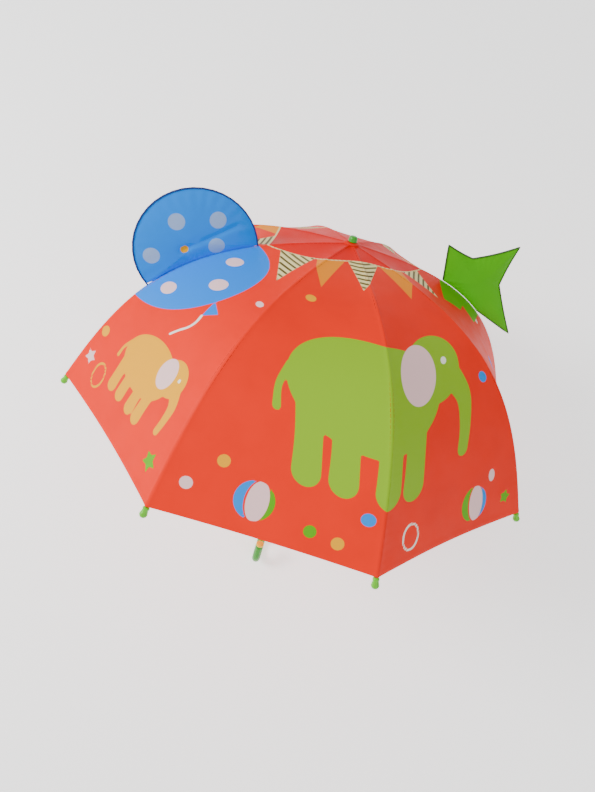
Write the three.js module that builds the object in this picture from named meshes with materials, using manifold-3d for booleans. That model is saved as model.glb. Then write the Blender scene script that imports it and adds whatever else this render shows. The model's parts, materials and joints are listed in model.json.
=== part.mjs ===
// Children's umbrella, standing open on two of its rib tips and the bend of its handle.
// Millimetres, +Z up, floor at z = 0. Inside the tilted group the shaft is the local z axis, with
// z = 0 where the cloth meets the shaft, and ribs are placed by turning copies about that axis.
import * as THREE from "three";
import { mergeVertices } from "three/addons/utils/BufferGeometryUtils.js";
import Module from "manifold-3d";

const wasm = await Module();
wasm.setup();

const CLEARANCE = 0.3; // gap between pieces that touch

// canopy and ribs
const RIB_NAMES = ["A", "B", "C", "D", "E", "F", "G", "H"];
const RIB_STEP = (2 * Math.PI) / RIB_NAMES.length;
const FIRST_RIB_ANGLE = -1.5 * RIB_STEP; // rib A, from the uppermost line of the tilted canopy
const RIB_ARC = 480; // along the cloth, from the shaft to a corner of the hem
const CROWN_SLOPE = 0.15; // radians below square to the shaft, at the crown
const HEM_SLOPE = 1.113; // the same at the hem
const BEND_PEAK = 0.55; // share of the arc where the rib is bent most
const PANEL_DIP = 0.016; // how far the middle of a panel sinks below the chord, as a share of radius
const CLOTH = 0.8;
const SEAM_GAP = 0.35;
const CLOTH_START = 6;
const RIB_DEPTH = 3.5; // rib centre line below the outside of the cloth
const RIB_WIRE = 1.4; // radius of the steel rib
const RIB_START = 18;
const RIB_END = 489;

// linkage: equal arms keep the runner on the shaft through the whole fold
const PIVOT_RADIUS = 7; // of the notch wire and the runner wire
const NOTCH_PIVOT_Z = -5.6;
const LUG_ARC = 196; // where the stretcher's lug sits, along the rib
const LUG_DEPTH = 4.2; // lug hole below the rib's centre line
const BLADE = 1.3; // thickness of the pressed eyes and lugs
const EYE_RADIUS = 1.9;
const RING_WIRE = 0.5;
const FOLD = THREE.MathUtils.degToRad(52); // how far each rib turns down to close
const RIVET_RADIUS = 0.65;
const CHEEK = 0.8;
const STRETCHER_WIRE = 1.3;

// shaft, notch, runner
const SHAFT_RADIUS = 4;
const SHAFT_WALL = 0.8;
const SHAFT_TOP = 5;
const SHAFT_BOTTOM = -556;
const BORE = SHAFT_RADIUS + CLEARANCE;
const NOTCH_RADIUS = 10;
const SLOT_WIDTH = 2;
const GROOVE_HEIGHT = 1.6;
const GROOVE_FLOOR = 6.2;
const SLEEVE_RADIUS = 7.4;
const SLEEVE_LENGTH = 36;
const KEYWAY_RADIUS = 6.35;
const KEYWAY_WIDTH = 2;
const CATCH_REACH = 6;
const CATCH_THICKNESS = 1.2;
const WINDOW_LOW = 8; // above the runner's lower end
const WINDOW_HEIGHT = 8;

// handle
const GRIP_TOP = -528;
const BEND_START = -607;
const BEND_RADIUS = 22;
const GRIP_RADIUS = 7.5;
const SHORT_LEG = 27;

// tips and ferrule
const TIP_LENGTH = 15;
const TIP_MOUTH = 3.4; // radius of the tip's open end
const TIP_NECK = 4.2;
const TIP_RADIUS = 5;
const TIP_START = RIB_ARC + 2 * CLEARANCE;

// ears
const EAR_THICKNESS = 2.4;
const EAR_LIFT = 0.6; // ear edge above the seam
const PIPING = 1.3;
const PIPING_LIFT = 4; // how far above the ear's lower edge the piping stops
const BALLOON_RADIUS = 82;
const BALLOON_ARC = 214; // seam arc below the balloon's middle
const BALLOON_LIFT = 13;
const STAR_ARC = 208;
const STAR_LIFT = 12;
const STAR_OUTER = 96;
const STAR_INNER = 46;
const STAR_TURN = -0.36; // radians, about the star's own middle

const COLORS = {
  steel: 0xc9ccd0, cloth: 0xff4b0a, lime: 0x96e11e, green: 0x50c314, yellow: 0xfad750,
  blue: 0x00a0f5, star: 0x5fb900, navy: 0x1d3f7a, leaf: 0x2f5a0a, white: 0xf2f2ee,
};

function finish(color, roughness, metalness = 0) {
  return new THREE.MeshStandardMaterial({ color, roughness, metalness });
}

function piece(name, geometry, color, roughness = 0.5, metalness = 0) {
  const mesh = new THREE.Mesh(geometry, finish(color, roughness, metalness));
  mesh.name = name;
  return mesh;
}

// booleans

function toSolid(geometry) {
  const bare = geometry.clone();
  bare.deleteAttribute("normal");
  bare.deleteAttribute("uv");
  const merged = mergeVertices(bare, 1e-4);
  const index = merged.index.array;
  const kept = [];
  for (let i = 0; i < index.length; i += 3) {
    const [a, b, c] = [index[i], index[i + 1], index[i + 2]];
    if (a !== b && b !== c && c !== a) kept.push(a, b, c);
  }
  const vertProperties = new Float32Array(merged.attributes.position.array);
  return new wasm.Manifold(new wasm.Mesh({ numProp: 3, vertProperties, triVerts: new Uint32Array(kept) }));
}

function toGeometry(solid) {
  const { vertProperties, triVerts } = solid.getMesh();
  const geometry = new THREE.BufferGeometry();
  geometry.setAttribute("position", new THREE.BufferAttribute(vertProperties, 3));
  geometry.setIndex(new THREE.BufferAttribute(triVerts, 1));
  geometry.computeVertexNormals();
  return geometry;
}

function carve(base, cutters) {
  return toGeometry(cutters.reduce((solid, cutter) => solid.subtract(toSolid(cutter)), toSolid(base)));
}

function join(pieces, cutters = []) {
  const body = pieces.map(toSolid).reduce((solid, other) => solid.add(other));
  return toGeometry(cutters.reduce((solid, cutter) => solid.subtract(toSolid(cutter)), body));
}

// basic shapes, in the plane of one rib: x is outward, y is across the rib, z is along the shaft

function turned(points, segments = 20) {
  const profile = points.map(([radius, z]) => new THREE.Vector2(radius, z));
  return new THREE.LatheGeometry(profile, segments).rotateX(Math.PI / 2);
}

function ring(inner, outer, low, high, segments = 20) {
  return turned([[inner, low], [outer, low], [outer, high], [inner, high], [inner, low]], segments);
}

function ringWire(radius, wire, z, segments = 24) {
  return new THREE.TorusGeometry(radius, wire, 5, segments).translate(0, 0, z);
}

function plate(shape, thickness, curveSegments = 3) {
  const geometry = new THREE.ExtrudeGeometry(shape, { depth: thickness, bevelEnabled: false, curveSegments });
  return geometry.translate(0, 0, -thickness / 2).rotateX(Math.PI / 2);
}

function crossPin(x, z, radius, length, segments = 10) {
  return new THREE.CylinderGeometry(radius, radius, length, segments).translate(x, 0, z);
}

function box(x0, x1, width, z0, z1) {
  return new THREE.BoxGeometry(x1 - x0, width, z1 - z0).translate((x0 + x1) / 2, 0, (z0 + z1) / 2);
}

// a flat bar with round ends, from one point to another, narrowing from one radius to the other
function link(from, to, fromRadius, toRadius) {
  const along = Math.atan2(to.y - from.y, to.x - from.x);
  const shape = new THREE.Shape();
  shape.absarc(from.x, from.y, fromRadius, along + Math.PI / 2, along - Math.PI / 2, false);
  shape.absarc(to.x, to.y, toRadius, along - Math.PI / 2, along + Math.PI / 2, false);
  shape.closePath();
  return shape;
}

class PathCurve extends THREE.Curve {
  constructor(pointAt) {
    super();
    this.pointAt = pointAt;
  }

  getPoint(t, target = new THREE.Vector3()) {
    return target.copy(this.pointAt(t));
  }
}

function tubeAlong(pointAt, radius, steps, sides = 8) {
  const section = new THREE.Shape();
  for (let i = 0; i < sides; i += 1) {
    const angle = (2 * Math.PI * (i + 0.5)) / sides;
    const [x, y] = [radius * Math.cos(angle), radius * Math.sin(angle)];
    if (i === 0) section.moveTo(x, y);
    else section.lineTo(x, y);
  }
  section.closePath();
  const extrudePath = new PathCurve(pointAt);
  return new THREE.ExtrudeGeometry(section, { steps, bevelEnabled: false, extrudePath });
}

// the rib's curve: a beam pinned at the notch and pulled at the tip bends most near its stretcher

function slopeAt(arc) {
  const u = THREE.MathUtils.clamp(arc / RIB_ARC, 0, 1);
  const bent = u < BEND_PEAK ? (u * u) / BEND_PEAK : 1 - ((1 - u) * (1 - u)) / (1 - BEND_PEAK);
  return CROWN_SLOPE + (HEM_SLOPE - CROWN_SLOPE) * bent;
}

const ARC_STEP = 2;
const meridian = [new THREE.Vector2(0, 0)];
for (let arc = 0; arc < RIB_ARC + 2 * TIP_LENGTH; arc += ARC_STEP) {
  const slope = slopeAt(arc + ARC_STEP / 2);
  const last = meridian[meridian.length - 1];
  meridian.push(new THREE.Vector2(last.x + ARC_STEP * Math.cos(slope), last.y - ARC_STEP * Math.sin(slope)));
}

// a point on the seam line, moved outward from the cloth by lift
function seamPoint(arc, lift = 0) {
  const place = arc / ARC_STEP;
  const i = Math.min(Math.floor(place), meridian.length - 2);
  const point = meridian[i].clone().lerp(meridian[i + 1], place - i);
  const slope = slopeAt(arc);
  return point.add(new THREE.Vector2(Math.sin(slope) * lift, Math.cos(slope) * lift));
}

function inPlane(point) {
  return new THREE.Vector3(point.x, 0, point.y);
}

// pivots of one rib's linkage

const notchPivot = new THREE.Vector2(PIVOT_RADIUS, NOTCH_PIVOT_Z);
const lugPivot = seamPoint(LUG_ARC, -RIB_DEPTH - LUG_DEPTH);
const runnerPivot = new THREE.Vector2(PIVOT_RADIUS, 2 * lugPivot.y - NOTCH_PIVOT_Z);

// the resting tilt: two tips on either side of the lowest line and the bend of the handle touch the floor

const tipEnd = seamPoint(TIP_START + TIP_LENGTH - TIP_RADIUS, -RIB_DEPTH);
const tipBelow = tipEnd.x * Math.cos(RIB_STEP / 2);
const leverAlong = -BEND_START + tipEnd.y;
const leverAcross = BEND_RADIUS + tipBelow;
const standOff = BEND_RADIUS + GRIP_RADIUS - TIP_RADIUS;
const TILT = Math.atan2(leverAcross, leverAlong) - Math.asin(standOff / Math.hypot(leverAlong, leverAcross));

// rib, stretcher, rivet and tip

function ribGeometry() {
  const wire = tubeAlong(
    (t) => inPlane(seamPoint(RIB_START + t * (RIB_END - RIB_START), -RIB_DEPTH)), RIB_WIRE, 20, 6);
  const eye = plate(link(notchPivot, seamPoint(RIB_START + 3, -RIB_DEPTH), EYE_RADIUS, 1), BLADE);
  const lug = plate(link(lugPivot, seamPoint(LUG_ARC, -RIB_DEPTH), EYE_RADIUS, EYE_RADIUS), BLADE);
  const eyeHole = crossPin(notchPivot.x, notchPivot.y, RING_WIRE + CLEARANCE, 4, 8);
  const lugHole = crossPin(lugPivot.x, lugPivot.y, RIVET_RADIUS + CLEARANCE, 4, 8);
  return join([wire, eye, lug], [eyeHole, lugHole]);
}

function stretcherGeometry() {
  const along = runnerPivot.clone().sub(lugPivot).normalize();
  const rodStart = lugPivot.clone().addScaledVector(along, 6);
  const rodEnd = runnerPivot.clone().addScaledVector(along, -11);
  const rod = tubeAlong((t) => inPlane(rodStart.clone().lerp(rodEnd, t)), STRETCHER_WIRE, 1, 6);
  const forkWidth = BLADE + 2 * (CLEARANCE + CHEEK);
  const fork = plate(link(lugPivot, lugPivot.clone().addScaledVector(along, 8), EYE_RADIUS, 1.6), forkWidth);
  const forkGap = plate(
    link(lugPivot.clone().addScaledVector(along, -4), lugPivot.clone().addScaledVector(along, 1.6), 4, 3),
    BLADE + 2 * CLEARANCE);
  const eye = plate(link(runnerPivot, rodEnd.clone().addScaledVector(along, -3), EYE_RADIUS, 1), BLADE);
  const forkHole = crossPin(lugPivot.x, lugPivot.y, RIVET_RADIUS + CLEARANCE, 6, 8);
  const eyeHole = crossPin(runnerPivot.x, runnerPivot.y, RING_WIRE + CLEARANCE, 4, 8);
  return join([rod, fork, eye], [forkGap, forkHole, eyeHole]);
}

function rivetGeometry() {
  const inner = BLADE / 2 + CLEARANCE + CHEEK + CLEARANCE;
  const outer = inner + 0.5;
  const head = 1.4;
  const geometry = turned([
    [0, -outer], [head * 0.7, -outer], [head, -inner], [RIVET_RADIUS, -inner],
    [RIVET_RADIUS, inner], [head, inner], [head * 0.7, outer], [0, outer],
  ], 8);
  return geometry.rotateX(Math.PI / 2).translate(lugPivot.x, 0, lugPivot.y);
}

function tipGeometry() {
  const bore = RIB_WIRE + CLEARANCE;
  const boreDepth = RIB_END - TIP_START + 1;
  const profile = [
    [0, boreDepth], [bore, boreDepth], [bore, 0], [TIP_MOUTH, 0],
    [TIP_NECK, 1.2], [TIP_NECK + 0.2, TIP_LENGTH * 0.5],
  ];
  for (let i = 0; i <= 3; i += 1) {
    const angle = (i / 3) * (Math.PI / 2);
    profile.push([TIP_RADIUS * Math.cos(angle), TIP_LENGTH - TIP_RADIUS * (1 - Math.sin(angle))]);
  }
  profile[profile.length - 1][0] = 0;
  const start = seamPoint(TIP_START, -RIB_DEPTH);
  return turned(profile, 10)
    .rotateY(Math.PI / 2 + HEM_SLOPE)
    .translate(start.x, 0, start.y);
}

// one cloth panel: a thin shell between two ribs, each side half a seam gap short of the seam plane
function panelGeometry() {
  const across = 4;
  const along = 14;
  const half = RIB_STEP / 2;
  const shell = new THREE.BoxGeometry(1, 1, 1, across, along, 1);
  const position = shell.attributes.position;
  for (let i = 0; i < position.count; i += 1) {
    const share = position.getY(i) + 0.5;
    const arc = CLOTH_START + share * (RIB_ARC - CLOTH_START);
    const side = -2 * position.getX(i);
    const slope = slopeAt(arc);
    const seam = seamPoint(arc);
    const dip = PANEL_DIP * seam.x * (1 - side * side) + (0.5 - position.getZ(i)) * CLOTH;
    const outward = seam.x * Math.cos(half) - dip * Math.sin(slope);
    const reach = outward * Math.tan(half) - SEAM_GAP / 2 / Math.cos(half);
    position.setXYZ(i, outward, side * reach, seam.y - dip * Math.cos(slope));
  }
  return shell.rotateZ(half);
}

// ears stand up from a seam, in the plane of its rib

// the seam arc where a lifted seam line is a given distance from a point, searched between two arcs
function seamCrossing(centre, distance, from, to, lift) {
  let [low, high] = [from, to];
  const outside = (arc) => seamPoint(arc, lift).distanceTo(centre) > distance;
  const lowOutside = outside(low);
  for (let i = 0; i < 40; i += 1) {
    const middle = (low + high) / 2;
    if (outside(middle) === lowOutside) low = middle;
    else high = middle;
  }
  return low;
}

function seamLine(from, to, lift, count = 10) {
  return Array.from({ length: count + 1 }, (_, i) => seamPoint(from + ((to - from) * i) / count, lift));
}

function outlineShape(points) {
  return new THREE.Shape(points.map((point) => new THREE.Vector2(point.x, point.y)));
}

function arcAround(centre, radius, from, to, count) {
  return Array.from({ length: count + 1 }, (_, i) => {
    const angle = from + ((to - from) * i) / count;
    return new THREE.Vector2(centre.x + radius * Math.cos(angle), centre.y + radius * Math.sin(angle));
  });
}

function pipingAlong(points, closedSteps) {
  const curve = new THREE.CatmullRomCurve3(points.map(inPlane), false, "centripetal");
  return tubeAlong((t) => curve.getPointAt(t), PIPING, closedSteps, 6);
}

const balloonCentre = seamPoint(BALLOON_ARC, BALLOON_LIFT);

function balloonRim(radius, lift) {
  const inner = seamCrossing(balloonCentre, radius, 60, BALLOON_ARC, lift);
  const outer = seamCrossing(balloonCentre, radius, RIB_ARC, BALLOON_ARC, lift);
  const start = seamPoint(outer, lift).sub(balloonCentre).angle();
  const end = seamPoint(inner, lift).sub(balloonCentre).angle();
  const from = start > end ? start - 2 * Math.PI : start;
  return { inner, outer, arc: arcAround(balloonCentre, radius, from, end, 24) };
}

function balloonGeometry() {
  const rim = balloonRim(BALLOON_RADIUS, EAR_LIFT);
  const base = seamLine(rim.inner, rim.outer, EAR_LIFT).slice(1, -1);
  return plate(outlineShape([...rim.arc, ...base]), EAR_THICKNESS);
}

function balloonPipingGeometry() {
  const radius = BALLOON_RADIUS + PIPING + CLEARANCE;
  return pipingAlong(balloonRim(radius, EAR_LIFT + PIPING_LIFT).arc, 30);
}

const starCentre = seamPoint(STAR_ARC, STAR_LIFT);

// corners of the star, counted around it, moved outward along the bisector by grow
function starCorner(i, grow = 0) {
  const radius = (i % 2 === 0 ? STAR_OUTER + grow * 3.5 : STAR_INNER + grow * 2.4);
  const angle = STAR_TURN + (i * Math.PI) / 5;
  return new THREE.Vector2(starCentre.x + radius * Math.cos(angle), starCentre.y + radius * Math.sin(angle));
}

// the part of a closed outline that lies above the lifted seam line, from its outer to its inner crossing
function aboveSeam(points, lift) {
  const line = seamLine(0, RIB_ARC, lift, 120);
  const heightOver = (point) => {
    const next = Math.max(1, line.findIndex((place) => place.x >= point.x));
    const [a, b] = [line[next - 1], line[next]];
    return point.y - (a.y + ((b.y - a.y) * (point.x - a.x)) / (b.x - a.x));
  };
  const kept = [];
  points.forEach((point, i) => {
    const next = points[(i + 1) % points.length];
    const [here, there] = [heightOver(point), heightOver(next)];
    if (here > 0) kept.push(point);
    if (here > 0 !== there > 0) kept.push(point.clone().lerp(next, here / (here - there)));
  });
  const outermost = kept.reduce((best, point, i) => {
    const gap = Math.abs(heightOver(point)) < 0.5;
    return gap && (best < 0 || point.x > kept[best].x) ? i : best;
  }, -1);
  return [...kept.slice(outermost), ...kept.slice(0, outermost)];
}

function starOutline(grow, lift) {
  const corners = Array.from({ length: 10 }, (_, i) => starCorner(i, grow));
  const fine = corners.flatMap((corner, i) => {
    const next = corners[(i + 1) % corners.length];
    return [0, 0.25, 0.5, 0.75].map((share) => corner.clone().lerp(next, share));
  });
  return aboveSeam(fine, lift);
}

function arcBelow(point) {
  let arc = 0;
  while (seamPoint(arc).x < point.x && arc < RIB_ARC) arc += 0.5;
  return arc;
}

function starGeometry() {
  const rim = starOutline(0, EAR_LIFT);
  const inner = arcBelow(rim[rim.length - 1]);
  const outer = arcBelow(rim[0]);
  return plate(outlineShape([...rim, ...seamLine(inner, outer, EAR_LIFT, 8).slice(1, -1)]), EAR_THICKNESS);
}

function starPipingGeometry() {
  const rim = starOutline(PIPING + CLEARANCE, EAR_LIFT + PIPING_LIFT);
  return pipingAlong(rim, 72);
}

// shaft group

const runnerZ = runnerPivot.y;
const RUNNER_HALF_CROWN = 3.4;
const RUNNER_LOW = runnerZ - SLEEVE_LENGTH;
const OPEN_CATCH_Z = RUNNER_LOW - CLEARANCE;
const arm = lugPivot.clone().sub(notchPivot);
const armAngle = Math.atan2(-arm.y, arm.x);
const runnerTravel = 2 * arm.length() * (Math.sin(armAngle + FOLD) - Math.sin(armAngle));
const CLOSED_CATCH_Z = RUNNER_LOW - runnerTravel + WINDOW_LOW + CLEARANCE;
const STOP_PIN_RADIUS = 0.8;
const STOP_PIN_Z = runnerZ + RUNNER_HALF_CROWN + CLEARANCE + STOP_PIN_RADIUS;
const NOTCH_LOW = NOTCH_PIVOT_Z - 4;
const NOTCH_HIGH = NOTCH_PIVOT_Z + 2.2;
const NOTCH_PIN_Z = NOTCH_LOW + 1.6;

function pinAcross(z, radius, length) {
  return new THREE.CylinderGeometry(radius, radius, length, 10).translate(0, 0, z);
}

function shaftGeometry() {
  const tube = ring(SHAFT_RADIUS - SHAFT_WALL, SHAFT_RADIUS, SHAFT_BOTTOM, SHAFT_TOP);
  const slotWidth = CATCH_THICKNESS + 2 * CLEARANCE;
  const slots = [
    box(0, 8, slotWidth, OPEN_CATCH_Z - 8, OPEN_CATCH_Z + CLEARANCE),
    box(0, 8, slotWidth, CLOSED_CATCH_Z - CLEARANCE, CLOSED_CATCH_Z + 8),
  ];
  const holes = [[STOP_PIN_Z, STOP_PIN_RADIUS], [NOTCH_PIN_Z, STOP_PIN_RADIUS]]
    .map(([z, radius]) => pinAcross(z, radius + CLEARANCE, 20));
  return carve(tube, [...slots, ...holes]);
}

// a ring with a groove for its wire and one slot for each rib or stretcher
function slottedRing(profile, slotLow, slotHigh) {
  const slots = RIB_NAMES.map((_, i) =>
    box(PIVOT_RADIUS - EYE_RADIUS - CLEARANCE, 20, SLOT_WIDTH, slotLow, slotHigh)
      .rotateZ(FIRST_RIB_ANGLE + i * RIB_STEP));
  return [turned(profile), slots];
}

function notchGeometry() {
  const [grooveLow, grooveHigh] = [NOTCH_PIVOT_Z - GROOVE_HEIGHT / 2, NOTCH_PIVOT_Z + GROOVE_HEIGHT / 2];
  const [body, slots] = slottedRing([
    [BORE, NOTCH_LOW], [NOTCH_RADIUS - 1, NOTCH_LOW],
    [NOTCH_RADIUS, NOTCH_LOW + 1], [NOTCH_RADIUS, grooveLow],
    [GROOVE_FLOOR, grooveLow], [GROOVE_FLOOR, grooveHigh], [NOTCH_RADIUS - 1, grooveHigh],
    [NOTCH_RADIUS - 1, NOTCH_HIGH], [BORE, NOTCH_HIGH], [BORE, NOTCH_LOW],
  ], NOTCH_LOW - 1, NOTCH_HIGH + 1);
  return carve(body, [...slots, pinAcross(NOTCH_PIN_Z, STOP_PIN_RADIUS + CLEARANCE, 30)]);
}

function runnerGeometry() {
  const [crownLow, crownHigh] = [runnerZ - RUNNER_HALF_CROWN, runnerZ + RUNNER_HALF_CROWN];
  const [grooveLow, grooveHigh] = [runnerZ - GROOVE_HEIGHT / 2, runnerZ + GROOVE_HEIGHT / 2];
  const [body, slots] = slottedRing([
    [BORE, RUNNER_LOW], [SLEEVE_RADIUS, RUNNER_LOW], [SLEEVE_RADIUS + 1, RUNNER_LOW + 1.5],
    [SLEEVE_RADIUS + 1, RUNNER_LOW + 4], [SLEEVE_RADIUS, RUNNER_LOW + 6], [SLEEVE_RADIUS, crownLow - 3],
    [NOTCH_RADIUS, crownLow], [NOTCH_RADIUS, grooveLow],
    [GROOVE_FLOOR, grooveLow], [GROOVE_FLOOR, grooveHigh],
    [NOTCH_RADIUS, grooveHigh], [NOTCH_RADIUS, crownHigh - 1],
    [NOTCH_RADIUS - 1, crownHigh], [BORE, crownHigh],
    [BORE, RUNNER_LOW],
  ], crownLow - 0.5, crownHigh + 1);
  const keyway = box(0, KEYWAY_RADIUS, KEYWAY_WIDTH, RUNNER_LOW - 1, crownHigh + 1);
  const window = box(0, 12, KEYWAY_WIDTH, RUNNER_LOW + WINDOW_LOW, RUNNER_LOW + WINDOW_LOW + WINDOW_HEIGHT);
  return carve(body, [...slots, keyway, window]);
}

// a leaf spring's nose: its flat shoulder holds the runner, its ramp, above or below, lets it pass
function catchGeometry(z, rampSide) {
  const nose = [
    [1.5, 11], [2.6, 11], [2.6, 6.8], [CATCH_REACH, 1], [CATCH_REACH, 0], [2.6, 0], [2.6, -2.5], [1.5, -2.5],
  ];
  return plate(outlineShape(nose.map(([x, up]) => new THREE.Vector2(x, z + rampSide * up))), CATCH_THICKNESS);
}

const WASHER_TOP = 1.6;

function washerGeometry() {
  return turned([
    [BORE, -0.3], [10, -1.1], [11.5, -0.7], [10, 0.6], [7, WASHER_TOP], [BORE, WASHER_TOP], [BORE, -0.3],
  ]);
}

function ferruleGeometry() {
  const low = WASHER_TOP + CLEARANCE;
  return turned([
    [0, SHAFT_TOP + CLEARANCE], [BORE, SHAFT_TOP + CLEARANCE], [BORE, low], [6, low], [6.4, low + 1],
    [6.2, low + 4], [5.2, low + 6.5], [3.5, low + 8], [0, low + 8],
  ]);
}

// handle: straight grip, half-circle bend towards the uppermost line of the canopy, short leg

const gripLength = GRIP_TOP - BEND_START;
const bendLength = Math.PI * BEND_RADIUS;
const hookLength = gripLength + bendLength + SHORT_LEG;

function hookPoint(t) {
  const along = t * hookLength;
  if (along <= gripLength) return new THREE.Vector3(0, 0, GRIP_TOP - along);
  const turn = Math.min((along - gripLength) / BEND_RADIUS, Math.PI);
  const rise = Math.max(0, along - gripLength - bendLength);
  return new THREE.Vector3(
    BEND_RADIUS * (1 - Math.cos(turn)), 0, BEND_START - BEND_RADIUS * Math.sin(turn) + rise);
}

const LEG_TOP = BEND_START + SHORT_LEG;
const PLUG_STEM = 3.5;
const PLUG_DEPTH = 6;
const PLUG_HEIGHT = 5;

function hookGeometry() {
  const tube = tubeAlong(hookPoint, GRIP_RADIUS, 32, 12);
  const socketEnd = SHAFT_BOTTOM - CLEARANCE;
  const socket = turned([[0, socketEnd], [BORE, socketEnd], [BORE, 0], [0, 0]], 16);
  const holeRadius = PLUG_STEM + CLEARANCE;
  const stemHole = new THREE.CylinderGeometry(holeRadius, holeRadius, 2 * PLUG_DEPTH, 12)
    .rotateX(Math.PI / 2).translate(2 * BEND_RADIUS, 0, LEG_TOP);
  return carve(tube, [socket, stemHole]);
}

function plugGeometry() {
  const low = LEG_TOP + CLEARANCE;
  return turned([
    [0, low - PLUG_DEPTH], [PLUG_STEM, low - PLUG_DEPTH], [PLUG_STEM, low], [GRIP_RADIUS, low],
    [GRIP_RADIUS, low + PLUG_HEIGHT - 2], [GRIP_RADIUS - 2, low + PLUG_HEIGHT], [0, low + PLUG_HEIGHT],
  ], 16).translate(2 * BEND_RADIUS, 0, 0);
}

function collarGeometry() {
  const low = GRIP_TOP + CLEARANCE;
  return turned([
    [BORE, low], [GRIP_RADIUS + 0.8, low], [GRIP_RADIUS + 0.8, low + 4], [GRIP_RADIUS - 1.5, low + 7],
    [BORE + 0.8, low + 10], [BORE, low + 10], [BORE, low],
  ]);
}

// closing strap: sewn on near rib G, it hangs down the outside of the panel towards the hem

const STRAP_ARC = 398; // of its middle
const STRAP_SIDE = -98; // from the middle of the panel
const STRAP_LENGTH = 108;
const STRAP_WIDTH = 14;
const STRAP_THICKNESS = 1;
const STRAP_LIFT = 1.6;

// x along the panel towards the hem, y across it, z out of it
function onPanel(geometry, along, lift) {
  const half = RIB_STEP / 2;
  const seam = seamPoint(STRAP_ARC);
  const slope = slopeAt(STRAP_ARC);
  const down = new THREE.Vector3(Math.cos(slope), 0, -Math.sin(slope));
  const out = new THREE.Vector3(Math.sin(slope), 0, Math.cos(slope));
  const at = new THREE.Vector3(seam.x * Math.cos(half), STRAP_SIDE, seam.y)
    .addScaledVector(down, along).addScaledVector(out, lift);
  const frame = new THREE.Matrix4().makeBasis(down, new THREE.Vector3(0, 1, 0), out).setPosition(at);
  return geometry.applyMatrix4(frame).rotateZ(half);
}

function strapGeometry() {
  return onPanel(new THREE.BoxGeometry(STRAP_LENGTH, STRAP_WIDTH, STRAP_THICKNESS), 0, STRAP_LIFT);
}

function snapGeometry() {
  const snap = turned([[0, 0], [4.5, 0], [5, 0.6], [4.2, 1.6], [1.8, 1.9], [1.6, 3], [0, 3]], 12);
  return onPanel(snap, STRAP_LENGTH / 2 - 9, STRAP_LIFT + STRAP_THICKNESS / 2 + CLEARANCE);
}

// assembly

const umbrella = new THREE.Group();
const tilted = new THREE.Group();
umbrella.add(tilted);
tilted.quaternion.setFromRotationMatrix(new THREE.Matrix4().makeBasis(
  new THREE.Vector3(0, -Math.sin(TILT), Math.cos(TILT)),
  new THREE.Vector3(1, 0, 0),
  new THREE.Vector3(0, Math.cos(TILT), Math.sin(TILT))));

tilted.add(
  piece("shaft", shaftGeometry(), COLORS.steel, 0.3, 1),
  piece("top_notch", notchGeometry(), COLORS.white, 0.5),
  piece("notch_wire", ringWire(PIVOT_RADIUS, RING_WIRE, NOTCH_PIVOT_Z), COLORS.steel, 0.4, 1),
  piece("notch_pin", pinAcross(NOTCH_PIN_Z, STOP_PIN_RADIUS, 2 * NOTCH_RADIUS - 3), COLORS.steel, 0.4, 1),
  piece("stop_pin", pinAcross(STOP_PIN_Z, STOP_PIN_RADIUS, 2 * SHAFT_RADIUS + 2.4), COLORS.steel, 0.4, 1),
  piece("rain_washer", washerGeometry(), COLORS.cloth, 0.8),
  piece("ferrule", ferruleGeometry(), COLORS.green, 0.35),
  piece("runner", runnerGeometry(), COLORS.white, 0.45),
  piece("runner_wire", ringWire(PIVOT_RADIUS, RING_WIRE, runnerZ), COLORS.steel, 0.4, 1),
  piece("open_catch", catchGeometry(OPEN_CATCH_Z, -1), COLORS.steel, 0.3, 1),
  piece("closed_catch", catchGeometry(CLOSED_CATCH_Z, 1), COLORS.steel, 0.3, 1),
  piece("handle_hook", hookGeometry(), COLORS.green, 0.35),
  piece("hook_plug", plugGeometry(), COLORS.yellow, 0.4),
  piece("handle_collar", collarGeometry(), COLORS.yellow, 0.4),
);

const perRib = {
  rib: [ribGeometry(), COLORS.steel, 0.35, 1],
  tip: [tipGeometry(), COLORS.lime, 0.4],
  rivet: [rivetGeometry(), COLORS.steel, 0.4, 1],
  stretcher: [stretcherGeometry(), COLORS.steel, 0.35, 1],
};
const panel = panelGeometry();

RIB_NAMES.forEach((name, i) => {
  const spoke = new THREE.Group();
  spoke.rotation.z = FIRST_RIB_ANGLE + i * RIB_STEP;
  tilted.add(spoke);
  for (const [kind, [geometry, ...look]] of Object.entries(perRib)) {
    spoke.add(piece(`${kind}_${name}`, geometry, ...look));
  }
  const next = RIB_NAMES[(i + 1) % RIB_NAMES.length];
  spoke.add(piece(`panel_${name}${next}`, panel, COLORS.cloth, 0.8));
  if (name === "A") {
    spoke.add(piece("balloon_ear", balloonGeometry(), COLORS.blue, 0.8));
    spoke.add(piece("balloon_piping", balloonPipingGeometry(), COLORS.navy, 0.8));
  }
  if (name === "E") {
    spoke.add(piece("star_ear", starGeometry(), COLORS.star, 0.8));
    spoke.add(piece("star_piping", starPipingGeometry(), COLORS.leaf, 0.8));
  }
  if (name === "G") {
    spoke.add(piece("tie_strap", strapGeometry(), COLORS.cloth, 0.8));
    spoke.add(piece("tie_snap", snapGeometry(), COLORS.lime, 0.4));
  }
});

// the origin is on the floor, below the middle of the whole
umbrella.updateMatrixWorld(true);
const bounds = new THREE.Box3().setFromObject(umbrella, true);
const middle = bounds.getCenter(new THREE.Vector3());
tilted.position.set(-middle.x, -middle.y, -bounds.min.z);
umbrella.updateMatrixWorld(true);

export default umbrella;
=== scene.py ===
"""Finish of a children's umbrella: printed cloth, padded ears, moulded fittings, floor, light and camera.

Sizes are millimetres in the umbrella's own frame: z runs along the shaft, with 0 where the cloth meets it,
x points to the uppermost line of the tilted canopy. The Rig turns them into metres in the row's frame.
"""
import json
import logging
import math
from dataclasses import dataclass, field
from enum import Enum

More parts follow.
